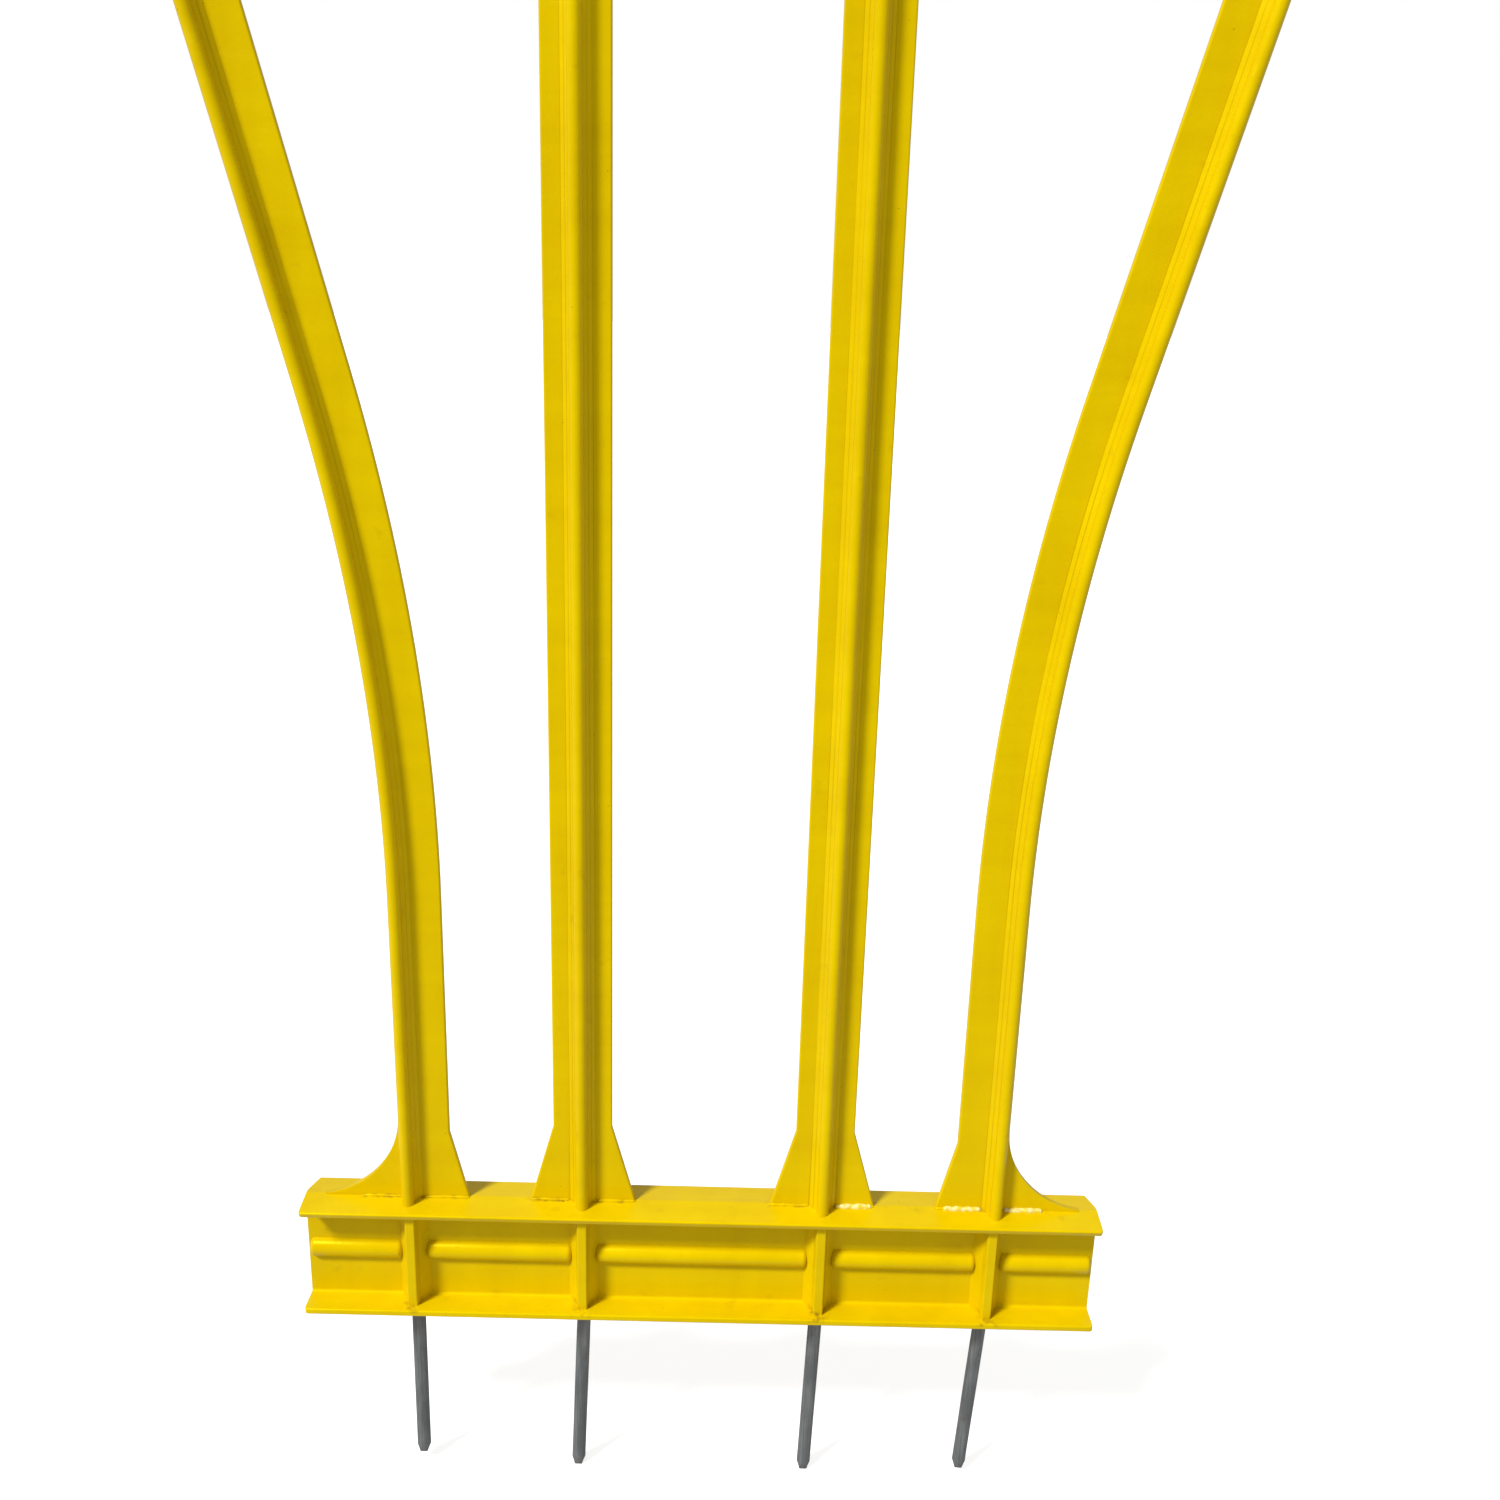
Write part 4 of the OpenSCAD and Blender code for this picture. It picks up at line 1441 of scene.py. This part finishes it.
class WeldTree(ShapeTree):
    """Lays a lumpy weld bead along every edge of the seed."""

    title = "weld_bead"
    sizes = {"Radius": 0.0009, "Lumps": 0.5, "Seed": 0.0}
    spacing = 0.0008                # distance between the bead's rings
    lump_scale = 420.0              # lumps to the metre
    lump_detail = 2.0
    wander = 0.8                    # sideways drift of the bead in its own radii
    taper = 0.12                    # share of half its length over which it thins out at an end
    tip = 0.25                      # size of the very end in radii
    sides = 12

    def build(self) -> Socket:
        """Sweeps a round along the seam, with its size and line disturbed by noise."""
        curve = self.add("GeometryNodeMeshToCurve", {"Mesh": self.given["Geometry"]}).outputs[0]
        curve = self.add("GeometryNodeResampleCurve", {"Curve": curve, "Length": self.spacing},
                         mode="LENGTH").outputs[0]
        radius = self.given["Radius"]
        wires = {"Vector": self.add("GeometryNodeInputPosition").outputs[0], "W": self.given["Seed"],
                 "Scale": self.lump_scale, "Detail": self.lump_detail}
        noise = self.add("ShaderNodeTexNoise", wires, noise_dimensions="4D")
        shift = self.vector("SUBTRACT", noise.outputs["Color"], (0.5, 0.5, 0.5))
        offset = self.scaled(shift, self.product(radius, self.wander))
        curve = self.add("GeometryNodeSetPosition", {"Geometry": curve, "Offset": offset}).outputs[0]
        end = self.add("GeometryNodeSplineParameter").outputs["Factor"]
        middle = self.flipped(self.math("ABSOLUTE", self.math("MULTIPLY_ADD", end, 2.0, -1.0)))
        taper = self.math("MAXIMUM", self.math("SQRT", self.span(middle, 0.0, self.taper)), self.tip)
        swell = self.product(self.math("SUBTRACT", noise.outputs[0], 0.5), self.given["Lumps"])
        size = self.product(self.math("MULTIPLY_ADD", swell, 2.0, 1.0), taper, radius)
        ring = self.add("GeometryNodeCurvePrimitiveCircle", {"Resolution": self.sides, "Radius": 1.0})
        wires = {"Curve": curve, "Profile Curve": ring.outputs["Curve"], "Scale": size, "Fill Caps": True}
        return self.add("GeometryNodeCurveToMesh", wires).outputs[0]


@dataclass(frozen=True)
class Seam:
    """One weld at the foot or head of a bar, from one x to another."""

    start: float
    end: float
    height: float
    face: int                       # -1 on the front of the plate and 1 on its back

    def ends(self, plate_half: float) -> list[Vector]:
        """Returns the two ends of the seam on the plate's face."""
        return [Vector((x, self.face * plate_half, self.height)) for x in (self.start, self.end)]


@dataclass
class FootWelds:
    """Weld beads where the bars' plates meet the rails."""

    bars: Bars
    finishes: Finishes
    tree: WeldTree = field(default_factory=WeldTree)
    plate_half: float = 0.0015
    off_rib: float = 0.0004
    small_radius: float = 0.0008
    shortest: float = 0.0032        # a shorter seam is left out
    toe_share: float = 0.6          # share of the toe that is welded
    # the pale welds carry a painted highlight and lie only on the front of the base rail, at the right-hand
    # feet
    pale_radius: float = 0.0015
    pale_inner: float = 0.025       # how far the pale welds reach from the inner right bar's rib
    pale_outer: float = 0.026       # and inwards from the outer right bar's rib
    pale_toe: Span = (0.0045, 0.0245)       # and outwards from it, under the toe

    def flare(self, x: float, inside: float, outside: float, root: float, height: float,
              side: Side) -> list[Seam]:
        """Returns the four seams of one foot.

        Args:
            x: Distance of the bar's rib from the middle.
            inside: Reach of the foot towards the middle of the figure.
            outside: Its reach the other way.
            root: Half of the rib's width on the outer side.
            height: Height of the rail's face.
            side: The side of the figure.

        Returns:
            The seams, inner ones first on each face.
        """
        hand, near = side.value, self.bars.inner.root(self.bars.inner.inside) + self.off_rib
        spans = [(x - inside, x - near), (x + root + self.off_rib, x + outside)]
        return [Seam(hand * a, hand * b, height, face) for face in (-1, 1) for a, b in spans]

    def level(self, height: float, side_x: float, base: bool) -> list[Seam]:
        """Returns the seams of all four feet at one height.

        Args:
            height: Height of the rail's face.
            side_x: Distance of the side bars' ribs from the middle.
            base: Whether this is the base rail, where the side bars have toes.

        Returns:
            The seams.
        """
        bars, seams = self.bars, []
        wide = bars.inner.inside + bars.foot_spread
        for side in Side:
            seams += self.flare(bars.inner_x, wide, wide, bars.inner.root(bars.inner.inside), height, side)
            toe = bars.toe_length * self.toe_share if base else bars.outer.outside
            seams += self.flare(side_x, bars.outer.inside + bars.side_foot_spread, toe,
                                bars.outer.root(bars.outer.outside), height, side)
        return seams

    def beads(self, name: str, seams: Sequence[Seam], radius: float, finish: bpy.types.Material,
              seed: float) -> None:
        """Lays the beads of the given seams as one piece.

        Args:
            name: Name of the piece.
            seams: The seams.
            radius: Radius of the beads.
            finish: Their material.
            seed: Picks the pattern of their lumps.
        """
        wire = bpy.data.meshes.new("seams")
        ends = [place for seam in seams for place in seam.ends(self.plate_half)]
        wire.from_pydata(ends, [(i, i + 1) for i in range(0, len(ends), 2)], [])
        mesh = self.tree.grow(wire, finish, sizes={"Radius": radius, "Seed": seed})
        face_outwards(mesh)
        place_piece(name, mesh)

    def build(self) -> None:
        """Lays the welds of every rail, and on the base rail the pale ones whose colour holds a painted
        highlight.
        """
        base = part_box("base_rail")[1][2]
        side_x = self.bars.side_x()
        seams = self.level(base, self.bars.outer_x, True)
        joints = (("lower_waist_rail", 0), ("upper_waist_rail", 1), ("chest_rail", 0), ("chest_rail", 1))
        for node, face in joints:
            seams += self.level(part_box(node)[face][2], side_x, False)
        seams = [seam for seam in seams if abs(seam.end - seam.start) > self.shortest]
        self.beads("foot_welds", seams, self.small_radius, self.finishes.plastic, 3.0)
        # pale beads with a painted highlight in their colour, on the front of the base rail at the
        # right-hand feet only
        x, far = self.bars.inner_x, self.bars.outer_x
        near = self.bars.inner.root(self.bars.inner.inside)
        spans = [(x + near, x + self.pale_inner), (far - self.pale_outer, far - near),
                 (far + self.pale_toe[0], far + self.pale_toe[1])]
        pale = [Seam(start, end, base, -1) for start, end in spans]
        self.beads("pale_foot_welds", pale, self.pale_radius, self.finishes.weld, 7.0)


# ---- Studio ----

@dataclass(frozen=True)
class Studio:
    """Floor, lights and camera."""

    lens: float = 34.8
    sensor: float = 36.0
    camera_place: tuple[float, float, float] = (0.0111, -0.6336, 0.4958)
    yaw: float = 0.55
    pitch: float = 17.15
    roll: float = 1.69
    to_light: tuple[float, float, float] = (-0.48, -0.46, 0.75)
    light_strength: float = 3.7
    light_angle: float = 11.0
    sky: float = 0.45
    floor_half: float = 40.0
    floor_tone: Colour = (0.50, 0.50, 0.50, 1.0)
    floor_roughness: float = 0.8

    def camera(self) -> None:
        """Sets up the camera from its place, yaw, pitch and roll in degrees."""
        yaw, pitch, roll = (math.radians(a) for a in (self.yaw, self.pitch, self.roll))
        aim = Vector((math.sin(yaw) * math.cos(pitch), math.cos(yaw) * math.cos(pitch), -math.sin(pitch)))
        right = Vector((math.cos(yaw), -math.sin(yaw), 0))
        level = Matrix((right, right.cross(aim), -aim)).transposed().to_4x4()
        data = bpy.data.cameras.new("camera")
        data.lens, data.sensor_width = self.lens, self.sensor
        camera = bpy.data.objects.new("camera", data)
        camera.matrix_world = Matrix.Translation(self.camera_place) @ level @ Matrix.Rotation(roll, 4, "Z")
        bpy.context.scene.collection.objects.link(camera)
        bpy.context.scene.camera = camera

    def lights(self) -> None:
        """Adds one soft sun from the upper left and an even pale sky."""
        data = bpy.data.lights.new("key", "SUN")
        data.energy, data.angle = self.light_strength, math.radians(self.light_angle)
        key = bpy.data.objects.new("key", data)
        key.rotation_euler = Vector(self.to_light).to_track_quat("Z", "Y").to_euler()
        bpy.context.scene.collection.objects.link(key)
        world = bpy.data.worlds.new("sky")
        world.use_nodes = True
        nodes = TreeMaker(world.node_tree)
        seen = nodes.add("ShaderNodeLightPath").outputs["Is Camera Ray"]
        nodes.wire(world.node_tree.nodes["Background"],
                   {"Color": WHITE, "Strength": nodes.math("MAXIMUM", seen, self.sky)})
        bpy.context.scene.world = world
        bpy.context.scene.view_settings.view_transform = "Standard"

    def floor(self, height: float) -> None:
        """Lays the floor at the given height."""
        half = self.floor_half
        mesh = bpy.data.meshes.new("floor")
        corners = [(-half, -half), (half, -half), (half, half), (-half, half)]
        mesh.from_pydata([(x, y, height) for x, y in corners], [], [(0, 1, 2, 3)])
        mesh.materials.append(StudioFloor("studio_floor", self.floor_tone, self.floor_roughness).material())
        floor = bpy.data.objects.new("floor", mesh)
        bpy.context.scene.collection.objects.link(floor)

    def build(self) -> None:
        """Sets up the whole studio."""
        self.camera()
        self.lights()
        self.floor(CAD_BOX[0][2])


def main() -> None:
    """Builds the studio and every piece of the dummy."""
    logging.basicConfig(level=logging.INFO, format="%(name)s: %(message)s")
    Studio().build()
    finishes = Finishes()
    bars = Bars(finishes)
    bars.build()
    spikes = [
        GroundSpike("outer_left_spike", x=-0.146, reach=0.097, lean=0.2),
        GroundSpike("inner_left_spike", x=-0.060, reach=0.103, lean=2.1),
        GroundSpike("inner_right_spike", x=0.060, reach=0.103, lean=1.7),
        GroundSpike("outer_right_spike", x=0.146, reach=0.100, lean=3.2),
    ]
    rail_tree = RailTree()
    spike_x = [spike.x for spike in spikes]
    bead_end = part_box("base_rail")[1][0] + Rail.bead_gap - Rail.edge_r     # just inside the rail's end
    Rail("base_rail", finishes.plastic, rail_tree, spike_x, crown=0.0017,
         bead_stops=[-bead_end, *spike_x, bead_end], bores=[spike.bore() for spike in spikes],
         end_clip=0.003).build()
    side_rib = bars.side_x() - RibShape.front_half
    cross_ribs = [-side_rib, -bars.inner_x, bars.inner_x, side_rib]
    fastenings = WaistFastenings(finishes.zinc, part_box("upper_waist_rail")[0][2])
    holes = fastenings.holes()
    for node, bores in (("lower_waist_rail", holes), ("upper_waist_rail", holes), ("chest_rail", [])):
        Rail(node, finishes.plastic, rail_tree, cross_ribs, bores=bores).build()
    Rail("collar_rail", finishes.plastic, rail_tree, [-bars.inner_x, bars.inner_x]).build()
    for spike in spikes:
        spike.build(finishes.spike)
    fastenings.build()
    FootWelds(bars, finishes).build()


if __name__ == "__main__":
    main()
